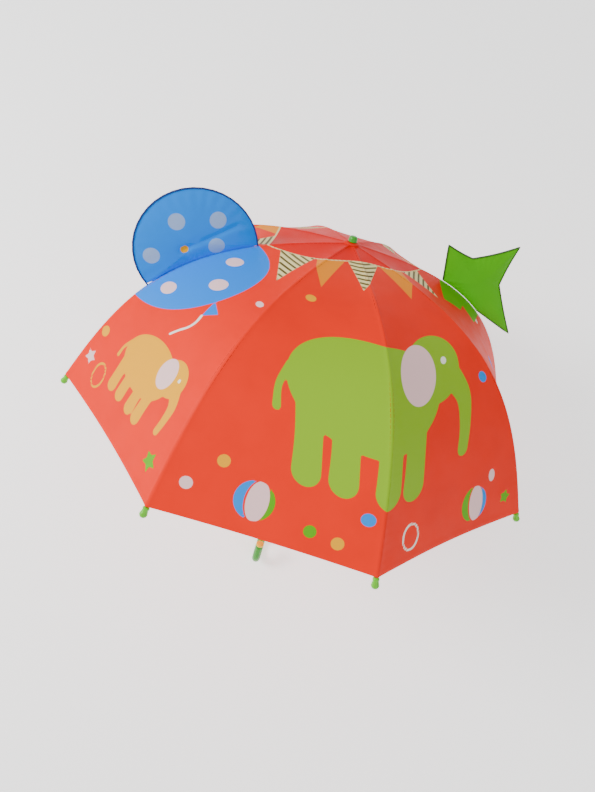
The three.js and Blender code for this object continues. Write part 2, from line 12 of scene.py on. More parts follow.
import bmesh
import bpy
import numpy as np
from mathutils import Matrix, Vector

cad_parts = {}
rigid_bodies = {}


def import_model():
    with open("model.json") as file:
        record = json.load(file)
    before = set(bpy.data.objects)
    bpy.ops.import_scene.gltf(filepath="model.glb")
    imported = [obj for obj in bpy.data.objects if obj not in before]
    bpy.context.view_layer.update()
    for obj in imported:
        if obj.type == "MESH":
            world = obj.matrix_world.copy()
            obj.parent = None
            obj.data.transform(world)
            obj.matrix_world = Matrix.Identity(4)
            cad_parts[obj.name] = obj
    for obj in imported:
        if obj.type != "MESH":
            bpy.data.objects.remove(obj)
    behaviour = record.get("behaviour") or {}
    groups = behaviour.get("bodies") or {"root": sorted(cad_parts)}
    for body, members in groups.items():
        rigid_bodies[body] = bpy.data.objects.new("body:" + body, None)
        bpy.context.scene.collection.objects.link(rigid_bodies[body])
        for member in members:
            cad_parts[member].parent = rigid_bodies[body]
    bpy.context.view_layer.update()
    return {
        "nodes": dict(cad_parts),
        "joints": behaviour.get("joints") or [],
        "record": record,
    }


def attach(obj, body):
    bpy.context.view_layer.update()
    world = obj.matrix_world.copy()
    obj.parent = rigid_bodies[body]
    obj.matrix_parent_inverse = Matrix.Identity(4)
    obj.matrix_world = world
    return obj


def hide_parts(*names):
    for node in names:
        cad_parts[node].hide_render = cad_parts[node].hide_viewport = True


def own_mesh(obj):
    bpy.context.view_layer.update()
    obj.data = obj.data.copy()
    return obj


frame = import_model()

log = logging.getLogger("umbrella")

MM = 0.001
RIBS = "ABCDEFGH"
PANEL_TURN = math.tau / len(RIBS)
FIRST_RIB = -1.5 * PANEL_TURN
RIB_ARC = 480.0
CLOTH_START = 6.0
CROWN_SLOPE = 0.15
HEM_SLOPE = 1.113
BEND_PEAK = 0.55
PANEL_DIP = 0.016
PIVOT_HEIGHT = -5.6
RIB_DEPTH = 3.5
SHAFT_BORE = 4.3
FAR = 12.0  # the greatest distance from an ink or a stitch that is kept
STITCH_COLOUR = "b41c00"
REVERSE_COLOUR = "ff5a28"
REVERSE_SHARE = 0.3


# ------------------------------------------------------------------ places


class Rig:
    """The umbrella's own frame, worked out from the fold joints' axes and places."""

    def __init__(self, joints: list[dict]) -> None:
        """Finds the shaft's direction and the cloth's apex.

        Args:
            joints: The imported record's joints.
        """
        folds = {j["child"][4]: j for j in joints if j["child"].startswith("rib_") and j["parent"] == "stick"}
        self.fold_names = {rib: folds[rib]["name"] for rib in RIBS}
        before, after = (np.array(folds[rib]["axis"], float) for rib in "BC")
        shaft = np.cross(before, after)
        self.z = shaft / np.linalg.norm(shaft)
        across = before + after
        self.y = across / np.linalg.norm(across)
        self.x = np.cross(self.y, self.z)
        centre = np.mean([folds[rib]["pos_m"] for rib in RIBS], axis=0)
        self.apex = centre - self.z * PIVOT_HEIGHT * MM

    def to_row(self, points: np.ndarray) -> np.ndarray:
        """Points in the umbrella's frame, in mm, as row-frame metres."""
        return self.apex + MM * (np.asarray(points, float) @ np.array([self.x, self.y, self.z]))

    def from_row(self, points: np.ndarray) -> np.ndarray:
        """Row-frame metres as mm in the umbrella's frame."""
        return (np.asarray(points, float) - self.apex) @ np.array([self.x, self.y, self.z]).T / MM

    def direction(self, x: float, y: float, z: float) -> tuple[float, float, float]:
        """A direction of the umbrella's frame, in the row frame."""
        return tuple(x * self.x + y * self.y + z * self.z)

    def node(self, name: str) -> np.ndarray:
        """The points of a CAD node, in mm in the umbrella's frame."""
        return self.from_row(np.array([v.co for v in frame["nodes"][name].data.vertices], float))


def turned_about_shaft(points: np.ndarray, angle: float) -> np.ndarray:
    """Turns points about the shaft.

    Args:
        points: One point a row, in mm.
        angle: Radians, counted from x towards y.

    Returns:
        The turned points.
    """
    c, s = math.cos(angle), math.sin(angle)
    x, y, z = np.asarray(points, float).T
    return np.stack([x * c - y * s, x * s + y * c, z], axis=1)


def slope_at(arc: np.ndarray) -> np.ndarray:
    """How far below square to the shaft the rib points, in radians, at each arc from the shaft."""
    u = np.clip(np.asarray(arc, float) / RIB_ARC, 0, 1)
    bent = np.where(u < BEND_PEAK, u * u / BEND_PEAK, 1 - (1 - u) ** 2 / (1 - BEND_PEAK))
    return CROWN_SLOPE + (HEM_SLOPE - CROWN_SLOPE) * bent


ARC_STEP = 1.0
_arcs = np.arange(0, RIB_ARC + 60, ARC_STEP)
_middles = slope_at(_arcs[:-1] + ARC_STEP / 2)
_radii = np.concatenate([[0], np.cumsum(np.cos(_middles) * ARC_STEP)])
_heights = np.concatenate([[0], -np.cumsum(np.sin(_middles) * ARC_STEP)])


def seam_point(arc: np.ndarray, lift: float = 0.0) -> tuple[np.ndarray, np.ndarray]:
    """A place on the seam over a rib.

    Args:
        arc: Distance from the shaft along the cloth.
        lift: How far outward from the cloth.

    Returns:
        Its radius and its height.
    """
    slope = slope_at(arc)
    return (
        np.interp(arc, _arcs, _radii) + np.sin(slope) * lift,
        np.interp(arc, _arcs, _heights) + np.cos(slope) * lift,
    )


def panel_width(arc: np.ndarray) -> np.ndarray:
    """The width of one panel, rib to rib, at an arc from the shaft."""
    return 2 * seam_point(arc)[0] * math.sin(PANEL_TURN / 2)


# ------------------------------------------------------------------ finishes


def linear(hex_colour: str) -> tuple[float, float, float, float]:
    """Turns an sRGB hex value into the linear colour that shaders use.

    Args:
        hex_colour: Six hex digits.

    Returns:
        Red, green, blue and an alpha of 1.
    """
    parts = [int(hex_colour[i : i + 2], 16) / 255 for i in (0, 2, 4)]
    return (*[c / 12.92 if c <= 0.04045 else ((c + 0.055) / 1.055) ** 2.4 for c in parts], 1.0)


def add_node(tree: bpy.types.NodeTree, kind: str, inputs: dict | None = None, **settings) -> bpy.types.Node:
    """Adds a node with its settings and links.

    Args:
        tree: The material's node tree.
        kind: The node's type name.
        inputs: Input name or index to a socket to link, or to a plain value.
        settings: Attributes of the node.

    Returns:
        The node.
    """
    node = tree.nodes.new(kind)
    for name, value in settings.items():
        setattr(node, name, value)
    for name, value in (inputs or {}).items():
        if isinstance(value, bpy.types.NodeSocket):
            tree.links.new(value, node.inputs[name])
        else:
            node.inputs[name].default_value = value
    return node


def new_material(name: str) -> tuple[bpy.types.Material, bpy.types.NodeTree, bpy.types.Node]:
    """Makes an empty node material.

    Args:
        name: The material's name.

    Returns:
        The material, its tree and its output node.
    """
    material = bpy.data.materials.new(name)
    material.use_nodes = True
    material.node_tree.nodes.clear()
    return material, material.node_tree, add_node(material.node_tree, "ShaderNodeOutputMaterial")


def noise_between(
    tree: bpy.types.NodeTree, vector: bpy.types.NodeSocket, size_mm: float, low: float, high: float,
    detail: float = 3.0,
) -> bpy.types.NodeSocket:
    """A smooth random value over the surface.

    Args:
        tree: The material's tree.
        vector: The coordinates, in metres.
        size_mm: The size of one blotch.
        low: The least value.
        high: The greatest.
        detail: How many finer layers it has.

    Returns:
        The value's socket.
    """
    noise = add_node(
        tree, "ShaderNodeTexNoise", {"Vector": vector, "Scale": 1 / (size_mm * MM), "Detail": detail}
    )
    spread = add_node(
        tree, "ShaderNodeMapRange",
        {"Value": noise.outputs["Fac"], "From Min": 0.3, "From Max": 0.7, "To Min": low, "To Max": high},
    )
    return spread.outputs["Result"]


def tinted(tree: bpy.types.NodeTree, colour: str, value: bpy.types.NodeSocket) -> bpy.types.NodeSocket:
    """A hex colour whose brightness follows a value."""
    return add_node(
        tree, "ShaderNodeHueSaturation", {"Color": linear(colour), "Value": value}
    ).outputs["Color"]


def pitted(tree: bpy.types.NodeTree, place: bpy.types.NodeSocket, size_mm: float, strength: float,
           depth: float) -> bpy.types.NodeSocket:
    """A surface normal roughened by fine noise.

    Args:
        tree: The material's tree.
        place: The coordinates, in metres.
        size_mm: The size of one pit.
        strength: How strongly it shows.
        depth: In metres.

    Returns:
        The normal's socket.
    """
    noise = add_node(tree, "ShaderNodeTexNoise", {"Vector": place, "Scale": 1 / (size_mm * MM)})
    return add_node(
        tree, "ShaderNodeBump", {"Height": noise.outputs["Fac"], "Strength": strength, "Distance": depth}
    ).outputs["Normal"]


def cover(tree: bpy.types.NodeTree, output: bpy.types.Node, inputs: dict) -> None:
    """Ends a material with a principled shader that has these inputs."""
    shader = add_node(tree, "ShaderNodeBsdfPrincipled", inputs)
    tree.links.new(shader.outputs["BSDF"], output.inputs["Surface"])


def calculate(tree: bpy.types.NodeTree, operation: str, *values: object) -> bpy.types.NodeSocket:
    """The result of a sum on one or two values."""
    return add_node(tree, "ShaderNodeMath", dict(enumerate(values)), operation=operation).outputs[0]


def blend(tree: bpy.types.NodeTree, share: object, below: bpy.types.NodeSocket, colour: str) -> object:
    """A hex colour laid over another, as far as share goes."""
    return add_node(
        tree, "ShaderNodeMix", {0: share, 6: below, 7: linear(colour)}, data_type="RGBA"
    ).outputs[2]


@dataclass(frozen=True)
class MouldedPlastic:
    """Injection-moulded polypropylene: even colour, faint flow clouds and a satin, slightly pitted skin."""

    name: str
    colour: str
    roughness: float = 0.34
    cloud_mm: float = 9.0
    pit_mm: float = 0.5
    coat: float = 0.15

    def material(self) -> bpy.types.Material:
        """The finished material."""
        material, tree, output = new_material(self.name)
        place = add_node(tree, "ShaderNodeTexCoord").outputs["Object"]
        clouds = noise_between(tree, place, self.cloud_mm, 0.93, 1.06)
        skin = noise_between(tree, place, self.cloud_mm / 2, self.roughness - 0.05, self.roughness + 0.07)
        cover(tree, output, {
            "Base Color": tinted(tree, self.colour, clouds), "Roughness": skin,
            "Normal": pitted(tree, place, self.pit_mm, 0.12, 0.00005), "IOR": 1.49,
            "Coat Weight": self.coat, "Subsurface Weight": 0.06, "Subsurface Scale": 0.002,
        })
        return material


@dataclass(frozen=True)
class PlatedSteel:
    """Zinc or chrome plated steel wire and tube: bright metal with fine marks left by drawing."""

    name: str
    colour: str
    roughness: float
    mark_mm: float = 0.6

    def material(self) -> bpy.types.Material:
        """The finished material."""
        material, tree, output = new_material(self.name)
        place = add_node(tree, "ShaderNodeTexCoord").outputs["Object"]
        marks = noise_between(tree, place, self.mark_mm, self.roughness * 0.75, self.roughness * 1.35, 4.0)
        cover(tree, output, {
            "Base Color": tinted(tree, self.colour, noise_between(tree, place, 14, 0.86, 1.05)),
            "Roughness": marks, "Normal": pitted(tree, place, self.mark_mm, 0.1, 0.00003), "Metallic": 1.0,
        })
        return material


class Ink(Enum):
    """Print colours, in the order in which they are printed."""

    DEEP = "f00a00"
    YELLOW = "ffb200"
    AMBER = "ff9400"
    LEAF = "92c21a"
    CREAM = "f6e6a0"
    KHAKI = "5c4c18"
    BLUE = "0088f6"
    BLUSH = "ffd4d4"
    SKY = "0092f4"
    GRASS = "60b400"
    MIST = "9cbce6"
    LINE = "fffff0"

    @property
    def attribute(self) -> str:
        """The name of the attribute that holds the distance from this colour's edge, in mm."""
        return f"ink_{self.name.lower()}"


@dataclass(frozen=True)
class PrintedCloth:
    """Woven polyester, screen printed: matt threads, with a long stitch along the seams.

    The real threads are 0.2 mm apart, too fine to show, so the weave is drawn at weave_mm.
    """

    name: str
    ground: str
    inks: tuple[Ink, ...] = ()
    weave_mm: float = 1.1
    stitched: bool = False
    reverse: bool = False
    ink_edge_mm: float = 0.5
    half_stitch_mm: float = 3.2
    stitch_gap_mm: float = 0.8
    wrinkle_mm: float = 1000 / 38

    def material(self) -> bpy.types.Material:
        """The finished material."""
        material, tree, output = new_material(self.name)
        cloth = add_node(tree, "ShaderNodeAttribute", attribute_name="cloth_mm").outputs["Vector"]
        place = add_node(tree, "ShaderNodeTexCoord").outputs["Object"]
        colour = tinted(tree, self.ground, noise_between(tree, place, 60, 0.95, 1.04))
        for ink in self.inks:
            edge = add_node(tree, "ShaderNodeAttribute", attribute_name=ink.attribute).outputs["Fac"]
            mask = add_node(
                tree, "ShaderNodeMapRange",
                {"Value": edge, "From Min": self.ink_edge_mm, "From Max": -self.ink_edge_mm},
                interpolation_type="SMOOTHSTEP",
            ).outputs["Result"]
            colour = blend(tree, mask, colour, ink.value)
        split = add_node(tree, "ShaderNodeSeparateXYZ", {"Vector": cloth}).outputs
        threads = [
            calculate(tree, "SINE", calculate(tree, "MULTIPLY", split[axis], math.tau / self.weave_mm))
            for axis in (0, 1)
        ]
        weave = calculate(tree, "MULTIPLY", *threads)
        grain = add_node(
            tree, "ShaderNodeMapRange",
            {"Value": weave, "From Min": -1.0, "From Max": 1.0, "To Min": 0.96, "To Max": 1.03},
        ).outputs["Result"]
        colour = add_node(tree, "ShaderNodeHueSaturation", {"Color": colour, "Value": grain}).outputs["Color"]
        if self.stitched:
            colour = blend(tree, self.stitches(tree, split[1]), colour, STITCH_COLOUR)
        if self.reverse:
            colour = blend(tree, REVERSE_SHARE, colour, REVERSE_COLOUR)
        wrinkles = add_node(
            tree, "ShaderNodeTexNoise", {"Vector": place, "Scale": 1000 / self.wrinkle_mm, "Detail": 2.0}
        )
        folds = add_node(
            tree, "ShaderNodeBump", {"Height": wrinkles.outputs["Fac"], "Strength": 0.3, "Distance": 0.0009}
        )
        bump = add_node(
            tree, "ShaderNodeBump",
            {"Height": weave, "Strength": 0.22, "Distance": 0.00008, "Normal": folds.outputs["Normal"]},
        )
        cover(tree, output, {
            "Base Color": colour, "Roughness": noise_between(tree, place, 25, 0.5, 0.62),
            "Normal": bump.outputs["Normal"], "IOR": 1.5, "Specular IOR Level": 0.12,
        })
        return material

    def stitches(self, tree: bpy.types.NodeTree, arc: bpy.types.NodeSocket) -> bpy.types.NodeSocket:
        """Where sewing thread shows.

        Args:
            tree: The material's tree.
            arc: Distance from the shaft.

        Returns:
            A socket that is 1 on the thread and 0 off it.
        """
        thread = add_node(tree, "ShaderNodeAttribute", attribute_name="stitch_mm").outputs["Fac"]
        dash = calculate(
            tree, "GREATER_THAN", calculate(tree, "PINGPONG", arc, self.half_stitch_mm), self.stitch_gap_mm
        )
        line = add_node(
            tree, "ShaderNodeMapRange", {"Value": thread, "From Min": 0.45, "From Max": 0.1}
        ).outputs["Result"]
        return calculate(tree, "MULTIPLY", dash, line)


CANOPY_INKS = tuple(i for i in Ink if i is not Ink.MIST)
EAR_INKS = (Ink.YELLOW, Ink.MIST)


class Finish(Enum):
    """Every finish on the umbrella."""

    CANOPY = PrintedCloth("printed polyester", "ff2600", CANOPY_INKS, stitched=True)
    CANOPY_INSIDE = PrintedCloth("printed polyester, reverse", "ff2600", CANOPY_INKS, reverse=True)
    # The ear's ground is a little lighter than the printed balloon blue (Ink.BLUE): painted light, making up
    # for the ear facing away from the lamps.
    BALLOON = PrintedCloth("blue polyester", "0090ff", EAR_INKS)
    STAR = PrintedCloth("green polyester", "52bc00")
    STRAP = PrintedCloth("orange polyester tape", "ee1e00")
    NAVY_EDGE = MouldedPlastic("dark blue bound edge", "0c2f78", 0.7, coat=0.0)
    LEAF_EDGE = MouldedPlastic("dark green bound edge", "2f5a0a", 0.7, coat=0.0)
    LIME = MouldedPlastic("moulded lime polypropylene", "66cc00")
    GREEN = MouldedPlastic("moulded green polypropylene", "2aa000")
    YELLOW = MouldedPlastic("moulded yellow polypropylene", "fcc420")
    WHITE = MouldedPlastic("moulded white polypropylene", "f0f0ec", 0.4)
    CHROME = PlatedSteel("plated steel tube", "c9ccd0", 0.18)
    ZINC = PlatedSteel("zinc plated steel wire", "b9bcc0", 0.34)
    SPRING = PlatedSteel("spring steel strip", "c4c6ca", 0.28)


_made: dict[Finish, bpy.types.Material] = {}


def dress(obj: bpy.types.Object, *finishes: Finish) -> None:
    """Gives a piece its finishes, one material slot each.

    Args:
        obj: The piece.
        finishes: What it is made of.
    """
    obj.data.materials.clear()
    for finish in finishes:
        if finish not in _made:
            _made[finish] = finish.value.material()
        obj.data.materials.append(_made[finish])


# ------------------------------------------------------------------ meshes


def finished(bm: bmesh.types.BMesh, name: str, smooth: bool = True) -> bpy.types.Object:
    """Puts a bmesh in the scene as a piece.

    Args:
        bm: The mesh, in the row frame. It is freed.
        name: The piece's name.
        smooth: Whether its faces are shaded smooth.

    Returns:
        The piece.
    """
    mesh = bpy.data.meshes.new(name)
    bm.to_mesh(mesh)
    bm.free()
    for polygon in mesh.polygons:
        polygon.use_smooth = smooth
    obj = bpy.data.objects.new(name, mesh)
    bpy.context.scene.collection.objects.link(obj)
    return obj


def move_all(bm: bmesh.types.BMesh, points: np.ndarray) -> None:
    """Puts each vertex of a bmesh at its row of points."""
    for vertex, point in zip(bm.verts, points):
        vertex.co = point


def all_points(bm: bmesh.types.BMesh) -> np.ndarray:
    """The vertices of a bmesh, one a row."""
    return np.array([v.co for v in bm.verts], float)


def store(obj: bpy.types.Object, name: str, values: np.ndarray) -> None:
    """Writes a point attribute, as a vector where values has three columns.

    Args:
        obj: The piece.
        name: The attribute's name.
        values: One value or one row for each vertex.
    """
    vector = values.ndim == 2
    attribute = obj.data.attributes.new(name, "FLOAT_VECTOR" if vector else "FLOAT", "POINT")
    attribute.data.foreach_set("vector" if vector else "value", np.asarray(values, np.float32).ravel())


def lathe(rig: Rig, name: str, profile: list[tuple[float, float]], place: np.ndarray, along: np.ndarray,
          steps: int = 48, bevel: float = 0.0) -> bpy.types.Object:
    """Spins a profile about a line.

    Args:
        rig: The umbrella's frame.
        name: The piece's name.
        profile: Radius and distance along the line, in mm, from one end on the line to the other.
        place: Where the distance is 0, in mm.
        along: The line's direction in the umbrella's frame.
        steps: Sides of the finished piece.
        bevel: Width of the rounding on its edges, in mm.

    Returns:
        The closed piece.
    """
    axis = np.asarray(along, float) / np.linalg.norm(along)
    side = np.cross(axis, (0, 1, 0)) if abs(axis[1]) < 0.9 else np.cross(axis, (1, 0, 0))
    side /= np.linalg.norm(side)
    bm = bmesh.new()
    rim = [bm.verts.new(rig.to_row(place + side * r + axis * d)) for r, d in profile]
    edges = [bm.edges.new(pair) for pair in zip(rim, rim[1:])]
    bmesh.ops.spin(
        bm, geom=[*rim, *edges], cent=rig.to_row(place), axis=rig.direction(*axis),
        angle=math.tau, steps=steps, use_merge=True,
    )
    bmesh.ops.remove_doubles(bm, verts=bm.verts, dist=0.005 * MM)
    bmesh.ops.recalc_face_normals(bm, faces=bm.faces)
    if bevel:
        sharp = [e for e in bm.edges if e.is_manifold and e.calc_face_angle() > math.radians(32)]
        bmesh.ops.bevel(
            bm, geom=sharp, offset=bevel * MM, offset_type="OFFSET", affect="EDGES", segments=2, profile=0.5,
            clamp_overlap=True, material=-1,
        )
    return finished(bm, name)


def tube(rig: Rig, name: str, points: np.ndarray, radius: float, scales: np.ndarray | None = None,
         rounding: int = 6) -> bpy.types.Object:
    """Runs a round section along a line of points.

    Args:
        rig: The umbrella's frame.
        name: The piece's name.
        points: The line, in mm in the umbrella's frame.
        radius: Of the section, in mm.
        scales: How far the section shrinks at each point.
        rounding: Quarter-turn segments of the section.

    Returns:
        The tube as a closed mesh.
    """
    curve = bpy.data.curves.new(name, "CURVE")
    curve.dimensions = "3D"
    curve.bevel_depth = radius * MM
    curve.bevel_resolution = rounding
    curve.use_fill_caps = True
    spline = curve.splines.new("POLY")
    spline.points.add(len(points) - 1)
    shrink = np.ones(len(points)) if scales is None else scales
    for point, place, scale in zip(spline.points, rig.to_row(points), shrink):
        point.co = (*place, 1.0)
        point.radius = scale
    holder = bpy.data.objects.new(name, curve)
    mesh = bpy.data.meshes.new_from_object(holder)
    bpy.data.objects.remove(holder)
    bpy.data.curves.remove(curve)
    bm = bmesh.new()
    bm.from_mesh(mesh)
    bpy.data.meshes.remove(mesh)
    bmesh.ops.remove_doubles(bm, verts=bm.verts, dist=0.002 * MM)
    bmesh.ops.recalc_face_normals(bm, faces=bm.faces)
    return finished(bm, name)


# ------------------------------------------------------------------ print


@dataclass(frozen=True)
class Disc:
    """A round or oval spot. x is across the cloth and s down it, in mm."""

    x: float
    s: float
    across: float
    down: float | None = None

    def distance(self, x: np.ndarray, s: np.ndarray) -> np.ndarray:
        """Distance from the edge, negative inside."""
        rx, rs = self.across, self.down or self.across
        dx, ds = x - self.x, s - self.s
        share = np.hypot(dx / rx, ds / rs)
        steepness = np.hypot(dx / rx**2, ds / rs**2)
        return np.where(steepness > 1e-9, share * (share - 1) / np.maximum(steepness, 1e-9), -min(rx, rs))


@dataclass(frozen=True)
class Ring:
    """A drawn circle or oval of one line."""

    disc: Disc
    width: float

    def distance(self, x: np.ndarray, s: np.ndarray) -> np.ndarray:
        """Distance from the line's edge, negative inside it."""
        return np.abs(self.disc.distance(x, s)) - self.width / 2


@dataclass(frozen=True)
class Stroke:
    """A brush line through points of (x, s, radius)."""

    points: tuple[tuple[float, float, float], ...]

    def distance(self, x: np.ndarray, s: np.ndarray) -> np.ndarray:
        """Distance from the line's edge, negative inside it."""
        best = np.full(x.shape, np.inf)
        for (ax, as_, ar), (bx, bs, br) in zip(self.points, self.points[1:]):
            dx, ds = bx - ax, bs - as_
            t = np.clip(((x - ax) * dx + (s - as_) * ds) / (dx * dx + ds * ds), 0, 1)
            best = np.minimum(best, np.hypot(x - ax - t * dx, s - as_ - t * ds) - (ar + t * (br - ar)))
        return best


@dataclass(frozen=True)
class Polygon:
    """A flat shape with straight sides."""

    points: tuple[tuple[float, float], ...]

    def distance(self, x: np.ndarray, s: np.ndarray) -> np.ndarray:
        """Distance from the edge, negative inside."""
        best = np.full(x.shape, np.inf)
        inside = np.zeros(x.shape, bool)
        for (ax, as_), (bx, bs) in zip(self.points, (*self.points[1:], self.points[0])):
            dx, ds = bx - ax, bs - as_
            t = np.clip(((x - ax) * dx + (s - as_) * ds) / max(dx * dx + ds * ds, 1e-9), 0, 1)
            best = np.minimum(best, np.hypot(x - ax - t * dx, s - as_ - t * ds))
            crosses = (as_ > s) != (bs > s)
            inside ^= crosses & (x < ax + (s - as_) / (ds if ds else 1e-9) * dx)
        return np.where(inside, -best, best)


@dataclass(frozen=True)
class Stripes:
    """Even stripes that run across."""

    start: float
    pitch: float
    share: float

    def distance(self, x: np.ndarray, s: np.ndarray) -> np.ndarray:
        """Distance from a stripe's edge, negative inside one."""
        return np.abs(((s - self.start) % self.pitch) - self.pitch / 2) - self.pitch * self.share / 2


@dataclass(frozen=True)
class Both:
    """Where two shapes overlap, or where the first lies outside the second."""

    first: object
    second: object
    outside: bool = False

    def distance(self, x: np.ndarray, s: np.ndarray) -> np.ndarray:
        """Distance from the overlap's edge, negative inside it."""
        sign = -1 if self.outside else 1
        return np.maximum(self.first.distance(x, s), sign * self.second.distance(x, s))


def curved(*points: tuple[float, float, float], steps: int = 6) -> Stroke:
    """A smooth brush line through points of (x, s, radius)."""
    line = np.array([points[0], *points, points[-1]], float)
    made = []
    for a, b, c, d in zip(line, line[1:], line[2:], line[3:]):
        for t in np.linspace(0, 1, steps, endpoint=False):
            made.append(0.5 * (2 * b + (c - a) * t + (2 * a - 5 * b + 4 * c - d) * t**2
                               + (3 * b - a - 3 * c + d) * t**3))
    return Stroke(tuple(tuple(float(v) for v in p) for p in (*made, line[-1])))


def five_point_star(x: float, s: float, size: float, turn: float = 0.3) -> Polygon:
    """A five-pointed star, size from its middle to a point."""
    return Polygon(tuple(
        (x + r * math.sin(turn + i * math.pi / 5), s - r * math.cos(turn + i * math.pi / 5))
        for i, r in enumerate([size, size * 0.48] * 5)
    ))


@dataclass
class Print:
    """Everything printed on the cloth: an ink and a shape, about an anchor counted in panels from rib A."""

    marks: list[tuple[Ink, float, object]] = field(default_factory=list)

    def put(self, ink: Ink, anchor: float, *shapes: object) -> None:
        """Adds shapes in one ink about one anchor."""
        self.marks += [(ink, anchor, shape) for shape in shapes]

    def ball(self, anchor: float, x: float, s: float, size: float, left: Ink, right: Ink) -> None:
        """A ball of three curved fields."""
        whole = Disc(x, s, size)
        self.put(Ink.BLUSH, anchor, Both(whole, Disc(x + size * 0.15, s, size * 0.55, size * 1.02)))
        for ink, reach, shift, across, down in ((left, -60, 0.2, 0.7, 1.1), (right, 60, 0.1, 0.6, 1.05)):
            middle = Disc(x + size * shift, s, size * across, size * down)
            half = Polygon(((x, s - 50), (x + reach, s - 50), (x + reach, s + 50), (x, s + 50)))
            self.put(ink, anchor, Both(Both(whole, middle, True), half))

    def elephant(self, anchor: float, x: float, s: float, size: float, coat: Ink) -> None:
        """A plain standing elephant, side on, made of ovals and limbs in proportion to its size.

        Args:
            anchor: Panels from rib A to the line that x is measured from.
            x: Middle of the body, across the panel.
            s: Middle of the body, from the shaft.
            size: Half the body's length.
            coat: Ink of the body.
        """
        def oval(across: float, down: float, wide: float, high: float) -> Disc:
            """An oval, placed and sized in shares of the size."""
            return Disc(x + across * size, s + down * size, wide * size, high * size)

        def limb(*points: tuple[float, float, float]) -> Stroke:
            """A limb through points given in shares of the size."""
            return curved(*[(x + a * size, s + d * size, t * size) for a, d, t in points])

        self.put(
            coat, anchor, oval(0, 0, 1, 0.66), oval(0.92, -0.3, 0.46, 0.44),
            limb((1.2, -0.2, 0.18), (1.42, 0.1, 0.13), (1.46, 0.45, 0.1), (1.44, 0.75, 0.09)),
            limb((-0.95, -0.1, 0.05), (-1.08, 0.15, 0.04), (-1.1, 0.4, 0.05)),
            *[
                limb((leg, 0.3, 0.17), (leg, 0.65, 0.16), (leg, 1.0, 0.17))
                for leg in (-0.72, -0.3, 0.22, 0.6)
            ],
        )
        self.put(Ink.BLUSH, anchor, oval(0.66, -0.26, 0.3, 0.38))
        self.put(Ink.LINE, anchor, oval(1.12, -0.38, 0.05, 0.05))

    def balloon_and_string(self) -> None:
        """The part of the balloon that is printed next to rib A, and its string."""
        self.put(Ink.BLUE, 0.0, Both(Disc(0, 224, 99, 92), Polygon(((0, 0), (300, 0), (300, 400), (0, 400)))),
                 Polygon(((96, 242), (122, 252), (108, 268))))
        self.put(Ink.BLUSH, 0.0, Disc(28, 180, 11, 11), Disc(27, 275, 12, 11), Disc(66, 222, 13, 12))
        string = [(108 + 6 * math.sin(1.1 * step), 268 + 12 * step, 1.9) for step in range(5)]
        self.put(Ink.LINE, 0.0, curved(*string))

    def star_and_ribbon(self) -> None:
        """The part of the star that is printed next to rib E."""
        edge = Polygon(((0, 158), (-62, 168), (-58, 206), (-34, 212), (-54, 244), (0, 262)))
        self.put(Ink.GRASS, 4.0, edge)
        self.put(Ink.BLUSH, 3.5, Disc(48, 236, 10, 8), Disc(58, 252, 7, 7))

    def bunting(self) -> None:
        """Flags on a string round the crown."""
        for start, end, tip, reach, striped in (
            (8, 34, 35, 159, True), (36, 66, 58, 134, False), (69, 119, 84, 116, True),
            (120, 150, 121, 132, False), (153, 174, 151, 156, True), (178, 204, 190, 168, False),
            (208, 236, 222, 160, True), (240, 268, 254, 152, False), (272, 300, 286, 158, True),
            (304, 330, 318, 166, False), (334, 358, 346, 172, True),
        ):
            anchor = tip / 45
            corners = [(angle, self.string_height(angle)) for angle in np.linspace(start, end, 7)]
            rim = [((a - tip) / 45 * float(panel_width(np.array(s))), s) for a, s in corners]
            flag = Polygon((*rim, (0.0, float(reach))))
            self.put(Ink.CREAM if striped else Ink.AMBER, anchor, flag)
            if striped:
                self.put(Ink.KHAKI, anchor, Both(flag, Stripes(self.string_height(tip), 9.0, 0.42)))

    @staticmethod
    def string_height(angle: np.ndarray | float) -> np.ndarray | float:
        """How far from the shaft the bunting's string lies at an angle from rib A, in degrees."""
        return 50 + 70 * np.minimum(1, 1 - np.cos(np.radians(angle - 90)))

    def scatter(self) -> None:
        """Balls, rings, dots and stars between the figures, and more of them round the far side."""
        self.ball(1.5, -22, 436, 25, Ink.SKY, Ink.GRASS)
        self.ball(2.5, 43, 440, 25, Ink.GRASS, Ink.SKY)
        for ink, anchor, x, s, across, down in (
            (Ink.BLUSH, 1.5, -104, 438, 8, 8), (Ink.YELLOW, 1.5, -69, 400, 8, 8),
            (Ink.BLUSH, 0.5, 59, 203, 7, 4.5), (Ink.YELLOW, 1.5, -29, 160, 7, 6),
            (Ink.GRASS, 1.5, 51, 452, 8, 8), (Ink.YELLOW, 1.5, 86, 456, 8, 8),
            (Ink.SKY, 1.5, 111, 417, 9, 8), (Ink.BLUSH, 2.5, 77, 407, 6, 9),
            (Ink.SKY, 2.5, 77, 268, 7, 8), (Ink.BLUE, 3.5, -10, 298, 8, 13),
            (Ink.YELLOW, 0.5, -112, 384, 8, 8), (Ink.YELLOW, 3.5, 60, 420, 9, 9),
            (Ink.BLUSH, 3.5, -70, 400, 9, 9),
        ):
            self.put(ink, anchor, Disc(x, s, across, down))
        self.put(Ink.LINE, 2.5, Ring(Disc(-83, 448, 14, 17), 3.4))
        self.put(Ink.YELLOW, 0.5, Ring(Disc(-77, 436, 13, 18), 3.4))
        self.put(Ink.BLUSH, 0.5, five_point_star(-112, 427, 13))
        self.put(Ink.GRASS, 0.5, five_point_star(103, 442, 15))
        self.put(Ink.GRASS, 2.5, five_point_star(107, 446, 12))
        for panel in (3.5, 4.5, 5.5, 6.5, 7.5):
            shift = 24 * math.sin(panel * 2.4)
            self.ball(panel, shift, 430 - shift / 2, 25, Ink.SKY, Ink.GRASS)
            if panel == 3.5:
                continue
            self.ball(panel, 20 - shift, 250, 22, Ink.YELLOW, Ink.BLUE)
            self.put(Ink.LINE, panel, Ring(Disc(-62 + shift, 350, 14, 17), 3.4))
